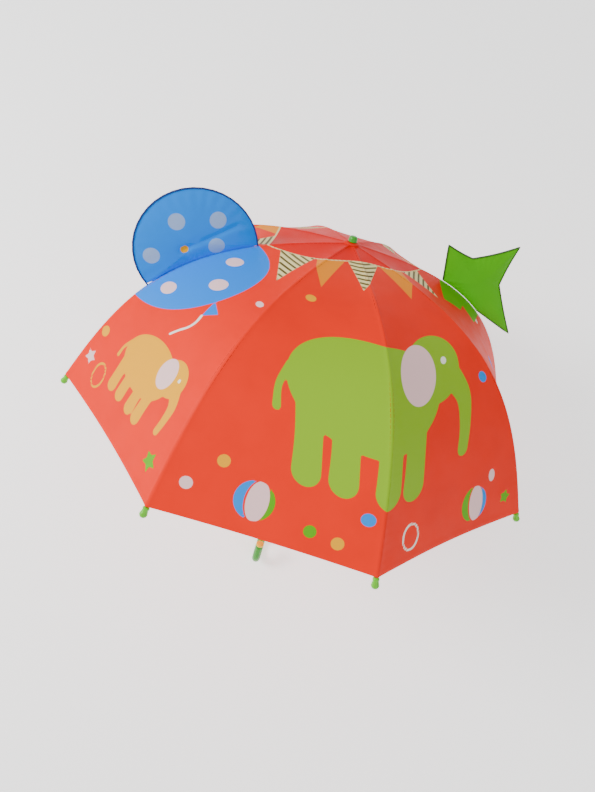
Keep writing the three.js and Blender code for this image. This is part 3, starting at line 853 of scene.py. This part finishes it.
            self.put(Ink.YELLOW, panel, five_point_star(60, 340 + shift / 2, 15), Disc(96, 436, 8))
            self.put(Ink.BLUSH, panel, Disc(-96, 420, 8), Disc(-30, 300, 7), five_point_star(-48, 210, 10))
            self.put(Ink.SKY, panel, Disc(72, 392, 9), Disc(46, 220, 7))

    def distances(self, panels: np.ndarray, arc: np.ndarray) -> dict[Ink, np.ndarray]:
        """The distance of each point from each ink's edge.

        Args:
            panels: Where the point is round the canopy, counted in panels from rib A.
            arc: Its distance from the shaft.

        Returns:
            Ink to distances, negative where it is printed.
        """
        width = panel_width(arc)
        result = {ink: np.full(arc.shape, FAR) for ink in CANOPY_INKS}
        string = self.string_height((panels % 8) * 45)
        result[Ink.DEEP] = np.clip(arc - string, -FAR, FAR)
        result[Ink.CREAM] = np.clip(np.abs(arc - string) - 1.6, -FAR, FAR)
        for ink, anchor, shape in self.marks:
            turn = (panels - anchor + 4) % 8 - 4
            result[ink] = np.minimum(result[ink], np.clip(shape.distance(turn * width, arc), -FAR, FAR))
        return result


# ------------------------------------------------------------------ canopy


@dataclass
class Canopy:
    """The cloth: one gore over every rib, cut at the panels' middles, so that each folds with its rib."""

    rig: Rig
    columns: int = 84
    rows: int = 150
    thickness: float = 0.4
    seam_ridge: float = 0.55
    seam_half_width: float = 3.0
    hem_width: float = 8.0
    pucker: float = 0.35
    pucker_pitch: float = 11.0
    sag: float = 0.9
    folded_share: float = 0.4

    def build(self, printing: Print) -> None:
        """Args:
            printing: What is printed on them.
        """
        for index, rib in enumerate(RIBS):
            gore = self.gore(index, rib, printing)
            after = RIBS[(index + 1) % len(RIBS)]
            turn = FIRST_RIB + index * PANEL_TURN
            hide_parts(f"panel_{rib}{after}")
            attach(gore, f"rib_{rib}_set")
            self.rig.direction(-math.sin(turn), math.cos(turn), 0)
            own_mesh(gore)
            log.info("%s: %d faces", gore.name, len(gore.data.polygons))

    def gore(self, index: int, rib: str, printing: Print) -> bpy.types.Object:
        """One gore, with its print held as distances from each ink's edge.

        Args:
            index: The rib's number, from rib A.
            rib: Its letter.
            printing: What is printed on the cloth.

        Returns:
            The gore.
        """
        bm = bmesh.new()
        bmesh.ops.create_grid(bm, x_segments=self.columns, y_segments=self.rows, size=0.5)
        flat = all_points(bm)
        offset = -flat[:, 0]
        arc = CLOTH_START + (flat[:, 1] + 0.5) * (RIB_ARC - CLOTH_START)
        move_all(bm, self.rig.to_row(self.surface(index, offset, arc)))
        for edge in bm.edges:
            edge.smooth = not edge.is_boundary
        gore = finished(bm, f"canopy_gore_{rib}")
        across = offset * panel_width(arc)
        store(gore, "cloth_mm", np.stack([across, arc, np.zeros_like(arc)], axis=1))
        sewn = np.minimum(np.abs(np.abs(across) - 2.4), np.abs(RIB_ARC - arc - self.hem_width))
        store(gore, "stitch_mm", np.minimum(sewn, FAR))
        for ink, distance in printing.distances(index + offset, arc).items():
            store(gore, ink.attribute, distance)
        dress(gore, Finish.CANOPY, Finish.CANOPY_INSIDE)
        wall = gore.modifiers.new("cloth", "SOLIDIFY")
        wall.thickness = self.thickness * MM
        wall.offset = -1.0
        wall.use_even_offset = False
        wall.material_offset = 1
        return gore

    def surface(self, index: int, offset: np.ndarray, arc: np.ndarray) -> np.ndarray:
        """Where the cloth is.

        Args:
            index: The rib's number.
            offset: Distance round from the rib, counted in panels, from -0.5 to 0.5.
            arc: Distance from the shaft.

        Returns:
            Points in mm.
        """
        half = PANEL_TURN / 2
        side = np.where(offset >= 0, 2 * offset - 1, 2 * offset + 1)
        radius, height = seam_point(arc)
        slope = slope_at(arc)
        across = np.abs(offset) * panel_width(arc)
        dip = PANEL_DIP * radius * (1 - side * side) + self.relief(index + offset, across, arc)
        outward = radius * math.cos(half) - dip * np.sin(slope)
        points = np.stack([outward, side * outward * math.tan(half), height - dip * np.cos(slope)], axis=1)
        middle = FIRST_RIB + (index + np.where(offset >= 0, 0.5, -0.5)) * PANEL_TURN
        c, s = np.cos(middle), np.sin(middle)
        x, y, z = points.T
        return np.stack([x * c - y * s, x * s + y * c, z], axis=1)

    def relief(self, round_: np.ndarray, across: np.ndarray, arc: np.ndarray) -> np.ndarray:
        """Depth of the cloth's small shapes: sewn seam, hem, puckers and slack.

        Args:
            round_: Place round the canopy, in panels.
            across: Distance from the seam.
            arc: Distance from the shaft.

        Returns:
            How far each point lies below the smooth cloth, in mm.
        """
        seam = np.exp(-((across / self.seam_half_width) ** 2))
        near_hem = np.clip(1 - np.abs(RIB_ARC - self.hem_width / 2 - arc) / (self.hem_width / 2), 0, 1)
        puckers = np.sin(arc * math.tau / self.pucker_pitch + 2.3 * np.sin(arc / 31)) * np.exp(-across / 9)
        fade = np.clip(across / 4, 0, 1) * np.clip((arc - 40) / 60, 0, 1)
        between = np.sin(math.pi * (round_ % 1)) ** 2
        slack = np.sin(arc / 47 + 1.7 * np.floor(round_)) * between
        scallop = np.clip((arc - 400) / 80, 0, 1) ** 2 * between
        return (
            -self.seam_ridge * seam - 0.35 * near_hem + self.pucker * puckers * fade
            + self.sag * (slack * 0.6 + scallop)
        )


# ------------------------------------------------------------------ ears


@dataclass
class Ear:
    """A flat ear sewn over a seam: two crowned sides joined at a bound edge, in the plane of its rib."""

    rig: Rig
    node: str
    piping_node: str
    piece_name: str
    rib: str
    cloth: Finish
    edge: Finish
    slots: tuple[str, str]
    crown: float = 4.2
    edge_half: float = 1.1
    piping: float = 1.1
    sides: int = 180
    rings: int = 56
    ripples: int = 26

    def build(self) -> None:
        plane = self.plane_points(self.node)
        centre = self.middle(plane)
        angles = np.linspace(0, math.tau, self.sides, endpoint=False)
        reach = self.outline(plane, centre, angles)
        ear = self.cushion(centre, angles, reach)
        dress(ear, self.cloth)
        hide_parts(self.node)
        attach(ear, f"rib_{self.rib}_set")
        log.info("%s: %d faces", ear.name, len(ear.data.polygons))
        self.bind_edge(plane, centre)

    def middle(self, plane: np.ndarray) -> np.ndarray:
        """The point that the ear is crowned about."""
        return (plane.min(0) + plane.max(0)) / 2

    def turn(self) -> float:
        """The rib's angle about the shaft."""
        return FIRST_RIB + RIBS.index(self.rib) * PANEL_TURN

    def plane_points(self, node: str) -> np.ndarray:
        """A CAD node's points as radius and height in its rib's plane."""
        return turned_about_shaft(self.rig.node(node), -self.turn())[:, [0, 2]]

    def rim(self, plane: np.ndarray, centre: np.ndarray) -> np.ndarray:
        """The outline's corners in order round the centre, doubles taken out.

        Args:
            plane: The CAD outline's points.
            centre: The ear's middle.

        Returns:
            One corner a row.
        """
        kept = np.unique(np.round(plane, 1), axis=0)
        angle = np.arctan2(kept[:, 1] - centre[1], kept[:, 0] - centre[0])
        return kept[np.argsort(angle)]

    def outline(self, plane: np.ndarray, centre: np.ndarray, angles: np.ndarray) -> np.ndarray:
        """How far the outline is from the centre at each angle.

        Args:
            plane: The CAD outline's points.
            centre: Where the rays start.
            angles: The rays' directions.

        Returns:
            A distance for each angle, in mm.
        """
        rim = self.rim(plane, centre)
        reach = np.zeros(len(angles))
        for a, b in zip(rim, np.roll(rim, -1, axis=0)):
            edge = b - a
            for i, angle in enumerate(angles):
                ray = np.array([math.cos(angle), math.sin(angle)])
                cross = ray[0] * edge[1] - ray[1] * edge[0]
                if abs(cross) < 1e-9:
                    continue
                gap = a - centre
                far = (gap[0] * edge[1] - gap[1] * edge[0]) / cross
                share = (gap[0] * ray[1] - gap[1] * ray[0]) / cross
                if far > 0 and -1e-6 <= share <= 1 + 1e-6:
                    reach[i] = max(reach[i], far)
        return reach

    def cushion(self, centre: np.ndarray, angles: np.ndarray, reach: np.ndarray) -> bpy.types.Object:
        """The two crowned sides as one closed mesh.

        Args:
            centre: The ear's middle, in its rib's plane.
            angles: Directions round the middle.
            reach: The outline's distance at each.

        Returns:
            The ear.
        """
        bm = bmesh.new()
        bmesh.ops.create_grid(bm, x_segments=self.sides, y_segments=self.rings, size=0.5)
        flat = all_points(bm)
        angle = (flat[:, 0] + 0.5) * math.tau
        over = (flat[:, 1] + 0.5) * math.pi
        share = np.sin(over) ** 0.75
        radius = np.interp(angle, [*angles, math.tau], [*reach, reach[0]]) * share
        x, z = centre[0] + radius * np.cos(angle), centre[1] + radius * np.sin(angle)
        side = np.where(np.abs(np.cos(over)) < 1e-6, 0.0, np.sign(np.cos(over)))
        height = self.crown * (1 - share**2) + self.edge_half * (1 - share**8)
        height += 0.3 * np.sin(self.ripples * angle) * share**6 * (1 - share**4) * 3
        height -= self.crease(x, z) * (1 - share**6)
        y = side * np.maximum(height, 0.05)
        points = turned_about_shaft(np.stack([x, y, z], axis=1), self.turn())
        move_all(bm, self.rig.to_row(points))
        layers = [bm.verts.layers.float.new(name) for name in ("plane_x", "plane_z")]
        for vertex, *place in zip(bm.verts, x, z):
            for layer, value in zip(layers, place):
                vertex[layer] = value
        bmesh.ops.remove_doubles(bm, verts=bm.verts, dist=0.01 * MM)
        bmesh.ops.recalc_face_normals(bm, faces=bm.faces)
        ear = finished(bm, self.piece_name)
        self.mark(ear)
        return ear

    def crease(self, x: np.ndarray, z: np.ndarray) -> np.ndarray:
        """Depth of the ear's fold lines; a plain ear has none."""
        return np.zeros_like(x)

    def mark(self, ear: bpy.types.Object) -> None:
        """Stores the cloth's coordinates on the ear."""
        count = len(ear.data.vertices)
        place = np.zeros((count, 3))
        for column, name in ((0, "plane_x"), (1, "plane_z")):
            values = np.zeros(count, np.float32)
            ear.data.attributes[name].data.foreach_get("value", values)
            place[:, column] = values
        store(ear, "cloth_mm", place)

    def free_rim(self, plane: np.ndarray, centre: np.ndarray) -> np.ndarray:
        """The corners that carry the bound edge, which are those near the CAD piping, in order.

        Args:
            plane: The CAD outline's points.
            centre: The ear's middle.

        Returns:
            One corner a row.
        """
        binding = self.plane_points(self.piping_node)
        rim = self.rim(plane, centre)
        near = np.linalg.norm(rim[:, None, :] - binding[None, :, :], axis=2).min(axis=1) < 4.5
        start = int(np.argmax(~near))
        return np.roll(rim, -start, axis=0)[np.roll(near, -start)]

    def bind_edge(self, plane: np.ndarray, centre: np.ndarray) -> None:
        """The bound edge: a tube along the CAD piping's middle line.

        Args:
            plane: The CAD outline's points.
            centre: The ear's middle.
        """
        ordered = self.free_rim(plane, centre)
        outward = ordered - centre
        outward /= np.linalg.norm(outward, axis=1)[:, None]
        line = ordered + outward * 0.4
        smooth = self.rounded(line)
        flat = np.stack([smooth[:, 0], np.zeros(len(smooth)), smooth[:, 1]], axis=1)
        points = turned_about_shaft(flat, self.turn())
        piece = tube(self.rig, self.piping_node.replace("piping", "bound_edge"), points, self.piping)
        dress(piece, self.edge)
        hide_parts(self.piping_node)
        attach(piece, f"rib_{self.rib}_set")
        log.info("%s: %d faces", piece.name, len(piece.data.polygons))

    @staticmethod
    def rounded(line: np.ndarray, per_stretch: int = 6) -> np.ndarray:
        """A line with more points, each stretch kept straight."""
        shares = np.linspace(0, 1, per_stretch, endpoint=False)
        parts = [a + (b - a) * t for a, b in zip(line, line[1:]) for t in shares]
        return np.array([*parts, line[-1]])


@dataclass
class BalloonEar(Ear):
    """The balloon: pale spots, a yellow button in the middle and one fold line."""

    spots: tuple[tuple[float, float, float], ...] = (
        (243, -9, 11), (191, 2, 11), (269, -60, 11), (187, -33, 11),
    )
    button: tuple[float, float, float] = (228, -44, 5.5)
    fold_from: tuple[float, float] = (228, -44)
    fold_to: tuple[float, float] = (165, -2)

    def crease(self, x: np.ndarray, z: np.ndarray) -> np.ndarray:
        """A shallow fold from the button towards the upper edge, and the button's own dimple."""
        fold = Stroke(((*self.fold_from, 0.0), (*self.fold_to, 0.0))).distance(x, z)
        dimple = np.hypot(x - self.button[0], z - self.button[1])
        return 1.6 * np.exp(-((fold / 3.5) ** 2)) + 1.2 * np.exp(-((dimple / 7) ** 2))

    def mark(self, ear: bpy.types.Object) -> None:
        """Stores the cloth's coordinates and the printed spots."""
        super().mark(ear)
        count = len(ear.data.vertices)
        place = np.zeros(count * 3, np.float32)
        ear.data.attributes["cloth_mm"].data.foreach_get("vector", place)
        x, z, _ = place.reshape(-1, 3).T
        spots = np.min([np.hypot(x - a, z - b) - r for a, b, r in self.spots], axis=0)
        store(ear, Ink.MIST.attribute, np.minimum(spots, FAR))
        a, b, r = self.button
        store(ear, Ink.YELLOW.attribute, np.minimum(np.hypot(x - a, z - b) - r, FAR))


@dataclass
class StarEar(Ear):
    """The star: three points stand free of the seam, the lowest one long and soft."""

    heart: tuple[float, float] = (222, -30)
    corners: tuple[tuple[float, float], ...] = (
        (148, 20), (195, 6), (264, 35), (258, -28), (316, -108),
    )
    base: tuple[float, float] = (160, 238)
    lift: float = 1.2

    def middle(self, plane: np.ndarray) -> np.ndarray:
        """The point that the star is crowned about."""
        return np.array(self.heart, float)

    def rim(self, plane: np.ndarray, centre: np.ndarray) -> np.ndarray:
        """The star's own corners, then its base along the seam."""
        radii = np.linspace(self.base[1], self.base[0], 9)
        seam = seam_point(np.interp(radii, _radii, _arcs), self.lift)
        return np.array([*self.soft_corners(), *np.stack(seam, axis=1)])

    def soft_corners(self) -> np.ndarray:
        """The free corners, with each edge between them pulled in a little."""
        made = []
        for a, b in zip(self.corners, self.corners[1:]):
            a, b = np.array(a, float), np.array(b, float)
            inward = np.array(self.heart) - (a + b) / 2
            inward /= np.linalg.norm(inward)
            for t in np.linspace(0, 1, 6, endpoint=False):
                made.append(a + (b - a) * t + inward * 2.4 * math.sin(math.pi * t))
        return np.array([*made, self.corners[-1]])

    def free_rim(self, plane: np.ndarray, centre: np.ndarray) -> np.ndarray:
        """The whole edge but for its base."""
        ends = np.stack(seam_point(np.interp(self.base, _radii, _arcs), 2 * self.lift), axis=1)
        return np.array([ends[0], *self.soft_corners(), ends[1]])


# ------------------------------------------------------------------ fittings


@dataclass
class Tips:
    """The caps on the ribs' ends."""

    rig: Rig
    length: float = 15.0
    mouth: float = 3.3
    neck: float = 4.2
    ball: float = 5.0
    start: float = 480.6

    def build(self) -> None:
        """Makes and dresses the eight tips."""
        radius, height = seam_point(np.array(self.start), -RIB_DEPTH)
        slope = HEM_SLOPE
        for index, rib in enumerate(RIBS):
            turn = FIRST_RIB + index * PANEL_TURN
            place = turned_about_shaft(np.array([[radius, 0, height]]), turn)[0]
            along = turned_about_shaft(np.array([[math.cos(slope), 0, -math.sin(slope)]]), turn)[0]
            tip = lathe(self.rig, f"rib_tip_{rib}", self.profile(), place, along, bevel=0.25)
            dress(tip, Finish.LIME)
            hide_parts(f"tip_{rib}")
            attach(tip, f"rib_{rib}_set")
        log.info("rib tips: %d", len(RIBS))

    def profile(self) -> list[tuple[float, float]]:
        """The cap's outline, from its mouth round the rib to its round end."""
        bore, depth = 1.7, 8.6
        points = [(0.0, depth), (bore, depth), (bore, 0.6), (self.mouth - 0.6, 0.0), (self.mouth, 0.5),
                  (self.neck, 1.8), (self.neck, 3.4), (self.neck - 0.5, 4.2),
                  (self.neck + 0.1, self.length * 0.5)]
        for angle in np.linspace(0, math.pi / 2, 10):
            reach = self.ball * math.cos(angle) if angle < math.pi / 2 - 1e-6 else 0.0
            points.append((reach, self.length - self.ball * (1 - math.sin(angle))))
        return points


@dataclass
class Crown:
    """The green button on top and the washer under it."""

    rig: Rig
    washer_top: float = 1.6

    def build(self) -> None:
        """Makes and dresses both pieces."""
        low = self.washer_top + 0.3
        up = np.array([0.0, 0.0, 1.0])
        button = lathe(
            self.rig, "top_button",
            [(0, 5.4), (SHAFT_BORE, 5.4), (SHAFT_BORE, low), (5.9, low), (6.4, low + 0.5), (6.4, low + 1.3),
             (6.1, low + 1.7), (6.1, low + 4.4), (5.7, low + 6), (4.8, low + 7.4), (3.5, low + 8),
             (0, low + 8)],
            np.zeros(3), up, steps=64, bevel=0.2,
        )
        dress(button, Finish.GREEN)
        washer = lathe(
            self.rig, "crown_washer",
            [(SHAFT_BORE, -0.3), (10, -1.1), (11.3, -0.8), (11.5, -0.3), (10.6, 0.4), (9, 1.0), (7, 1.6),
             (SHAFT_BORE, 1.6), (SHAFT_BORE, -0.3)],
            np.zeros(3), up, steps=64,
        )
        dress(washer, Finish.STRAP)
        for piece, node, slot in (
            (button, "ferrule", "green_plastic"), (washer, "rain_washer", "canopy_cloth"),
        ):
            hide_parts(node)
            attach(piece, "stick")
            log.info("%s made", piece.name)


@dataclass
class Handle:
    """The bent grip with its end plug and its collar."""

    rig: Rig
    grip_top: float = -528.0
    bend_start: float = -607.0
    bend_radius: float = 22.0
    grip_radius: float = 7.5
    leg_top: float = -580.0
    lip: float = 1.2

    def build(self) -> None:
        """Makes and dresses the grip, the plug and the collar."""
        points, scales = self.line()
        grip = tube(self.rig, "hook_grip", points, self.grip_radius, scales, rounding=12)
        up = np.array([0.0, 0.0, 1.0])
        low = self.leg_top + 0.3
        plug = lathe(
            self.rig, "grip_end_plug",
            [(0, low), (6.9, low), (7.4, low + 0.5), (7.4, low + 3.0), (7.0, low + 4.2), (6.3, low + 4.8),
             (5.5, low + 5), (0, low + 5)],
            np.array([2 * self.bend_radius, 0.0, 0.0]), up, steps=64,
        )
        shell = self.rig.node("handle_collar")
        reach = float(np.hypot(shell[:, 0], shell[:, 1]).max())
        bottom, top = float(shell[:, 2].min()), float(shell[:, 2].max())
        collar = lathe(
            self.rig, "grip_collar",
            [(SHAFT_BORE, bottom), (reach - 0.7, bottom), (reach, bottom + 0.7), (reach, top - 1.2),
             (reach - 1.2, top), (SHAFT_BORE, top), (SHAFT_BORE, bottom)],
            np.zeros(3), up, steps=64, bevel=0.2,
        )
        for piece, node, finish, slot in (
            (grip, "handle_hook", Finish.GREEN, "green_plastic"),
            (plug, "hook_plug", Finish.YELLOW, "yellow_plastic"),
            (collar, "handle_collar", Finish.YELLOW, "yellow_plastic"),
        ):
            dress(piece, finish)
            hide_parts(node)
            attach(piece, "stick")
            log.info("%s made", piece.name)

    def line(self) -> tuple[np.ndarray, np.ndarray]:
        """The grip's middle line and how far its section shrinks at the rounded ends.

        Returns:
            Points in mm, and a scale for each.
        """
        straight = [(0.0, z) for z in np.linspace(self.grip_top, self.bend_start, 12)]
        bend = [
            (self.bend_radius * (1 - math.cos(a)), self.bend_start - self.bend_radius * math.sin(a))
            for a in np.linspace(0, math.pi, 41)[1:]
        ]
        leg = [(2 * self.bend_radius, z) for z in np.linspace(self.bend_start, self.leg_top, 6)[1:]]
        body = np.array([*straight, *bend, *leg])
        start = [(body[0, 0], body[0, 1] - self.lip * t) for t in (0.0, 0.3)]
        end = [(body[-1, 0], body[-1, 1] - self.lip * t) for t in (0.3, 0.0)]
        inner = body[1:-1]
        full = np.array([*start, (0.0, self.grip_top - self.lip), *inner,
                         (2 * self.bend_radius, self.leg_top - self.lip), *end])
        scales = np.ones(len(full))
        scales[[0, -1]] = 0.88
        scales[[1, -2]] = 0.95
        return np.stack([full[:, 0], np.zeros(len(full)), full[:, 1]], axis=1), scales


@dataclass
class Strap:
    """The tie strap that keeps the closed umbrella rolled."""

    rig: Rig

    def build(self) -> None:
        """Makes the strap from the CAD strap's outline, with a soft wave in it."""
        bm = bmesh.new()
        bm.from_mesh(frame["nodes"]["tie_strap"].data)
        bmesh.ops.remove_doubles(bm, verts=bm.verts, dist=0.01 * MM)
        bmesh.ops.dissolve_limit(bm, angle_limit=0.02, verts=bm.verts, edges=bm.edges)
        points = all_points(bm)
        centre = points.mean(axis=0)
        _, _, axes = np.linalg.svd(points - centre)
        long, _, thin = axes
        bmesh.ops.subdivide_edges(
            bm, edges=[e for e in bm.edges if e.calc_length() > 40 * MM], cuts=35, use_grid_fill=True
        )
        for vertex in bm.verts:
            along = float((np.array(vertex.co) - centre) @ long) / MM
            vertex.co += Vector(thin) * (0.35 * math.sin(along / 11) * MM)
        bmesh.ops.recalc_face_normals(bm, faces=bm.faces)
        strap = finished(bm, "tie_tape", smooth=False)
        store(strap, "cloth_mm", self.rig.from_row(np.array([v.co for v in strap.data.vertices])))
        edge = strap.modifiers.new("edge", "BEVEL")
        edge.width = 0.3 * MM
        edge.segments = 2
        edge.limit_method = "ANGLE"
        dress(strap, Finish.STRAP)
        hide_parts("tie_strap")
        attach(strap, "rib_G_set")
        log.info("%s: %d faces", strap.name, len(strap.data.polygons))


def dress_frame() -> None:
    """Gives every CAD node that still shows its finish."""
    by_slot = {
        "shaft_steel": Finish.CHROME, "frame_steel": Finish.ZINC, "pin_steel": Finish.ZINC,
        "spring_steel": Finish.SPRING, "white_plastic": Finish.WHITE, "green_plastic": Finish.GREEN,
        "yellow_plastic": Finish.YELLOW, "lime_plastic": Finish.LIME,
    }
    for part in frame["record"]["subparts"]:
        node = frame["nodes"][part["node"]]
        if not node.hide_render:
            dress(node, by_slot[part["material_slot"]])
            log.info("%s dressed", node.name)


# ------------------------------------------------------------------ studio


@dataclass
class Studio:
    """Pale floor, soft light and the camera."""

    rig: Rig
    floor_half: float = 6.0
    eye: tuple[float, float, float] = (840.3, -1.8, 265.4)
    looks: tuple[float, float, float] = (-0.8432, -0.0104, -0.5374)
    right: tuple[float, float, float] = (-0.1649, 0.9566, 0.2402)
    lens: float = 27.58

    def build(self) -> None:
        """Makes the floor, the lights and the camera."""
        self.floor()
        self.lamp("key", (-1.6, -0.1, 1.75), 0.7, 44.0)
        self.lamp("fill", (1.5, -1.5, 1.9), 2.0, 18.0)
        world = bpy.data.worlds.new("studio")
        world.use_nodes = True
        background = world.node_tree.nodes["Background"]
        background.inputs["Color"].default_value = (1.0, 1.0, 1.0, 1.0)
        background.inputs["Strength"].default_value = 0.55
        bpy.context.scene.world = world
        self.camera()

    def floor(self) -> None:
        """A plain pale floor with a faint grain."""
        bm = bmesh.new()
        bmesh.ops.create_grid(bm, x_segments=2, y_segments=2, size=self.floor_half)
        floor = finished(bm, "floor", smooth=False)
        material, tree, output = new_material("white painted floor")
        place = add_node(tree, "ShaderNodeTexCoord").outputs["Object"]
        cover(tree, output, {
            "Base Color": tinted(tree, "fbfbfa", noise_between(tree, place, 300, 0.99, 1.0)),
            "Roughness": 0.8, "Emission Color": (1.0, 1.0, 1.0, 1.0), "Emission Strength": 1.1,
        })
        floor.data.materials.append(material)

    def lamp(self, name: str, place: tuple[float, float, float], size: float, watts: float) -> None:
        """A square soft lamp that faces the canopy.

        Args:
            name: The lamp's name.
            place: Where it hangs, in metres.
            size: The side of its square.
            watts: Its power.
        """
        light = bpy.data.lights.new(name, "AREA")
        light.size = size
        light.energy = watts
        lamp = bpy.data.objects.new(name, light)
        lamp.location = place
        lamp.rotation_mode = "QUATERNION"
        lamp.rotation_quaternion = (Vector((0, 0, 0.25)) - Vector(place)).to_track_quat("-Z", "Y")
        bpy.context.scene.collection.objects.link(lamp)

    def camera(self) -> None:
        """The camera, above and in front, turned a little."""
        data = bpy.data.cameras.new("camera")
        data.sensor_width = 36.0
        data.lens = self.lens
        camera = bpy.data.objects.new("camera", data)
        back = -Vector(self.rig.direction(*self.looks)).normalized()
        right = Vector(self.rig.direction(*self.right)).normalized()
        up = back.cross(right)
        turn = camera.matrix_world.to_3x3()
        for column, axis in enumerate((right, up, back)):
            turn.col[column] = axis
        camera.rotation_mode = "QUATERNION"
        camera.rotation_quaternion = turn.to_quaternion()
        camera.location = self.rig.to_row(np.array([self.eye]))[0]
        bpy.context.scene.collection.objects.link(camera)
        bpy.context.scene.camera = camera


def main() -> None:
    """Builds every sub-assembly in order."""
    logging.basicConfig(level=logging.INFO, format="%(name)s: %(message)s")
    rig = Rig(frame["joints"])
    Studio(rig).build()
    printing = Print()
    printing.balloon_and_string()
    printing.star_and_ribbon()
    printing.elephant(2.0, -20, 275, 108, Ink.LEAF)
    printing.elephant(0.5, 0, 368, 58, Ink.YELLOW)
    printing.bunting()
    printing.scatter()
    Canopy(rig).build(printing)
    BalloonEar(
        rig, "balloon_ear", "balloon_piping", "balloon_ear_cloth", "A", Finish.BALLOON, Finish.NAVY_EDGE,
        ("balloon_cloth", "navy_piping"),
    ).build()
    StarEar(
        rig, "star_ear", "star_piping", "star_ear_cloth", "E", Finish.STAR, Finish.LEAF_EDGE,
        ("star_cloth", "dark_green_piping"),
    ).build()
    Tips(rig).build()
    Crown(rig).build()
    Handle(rig).build()
    Strap(rig).build()
    dress_frame()


if __name__ == "__main__":
    main()
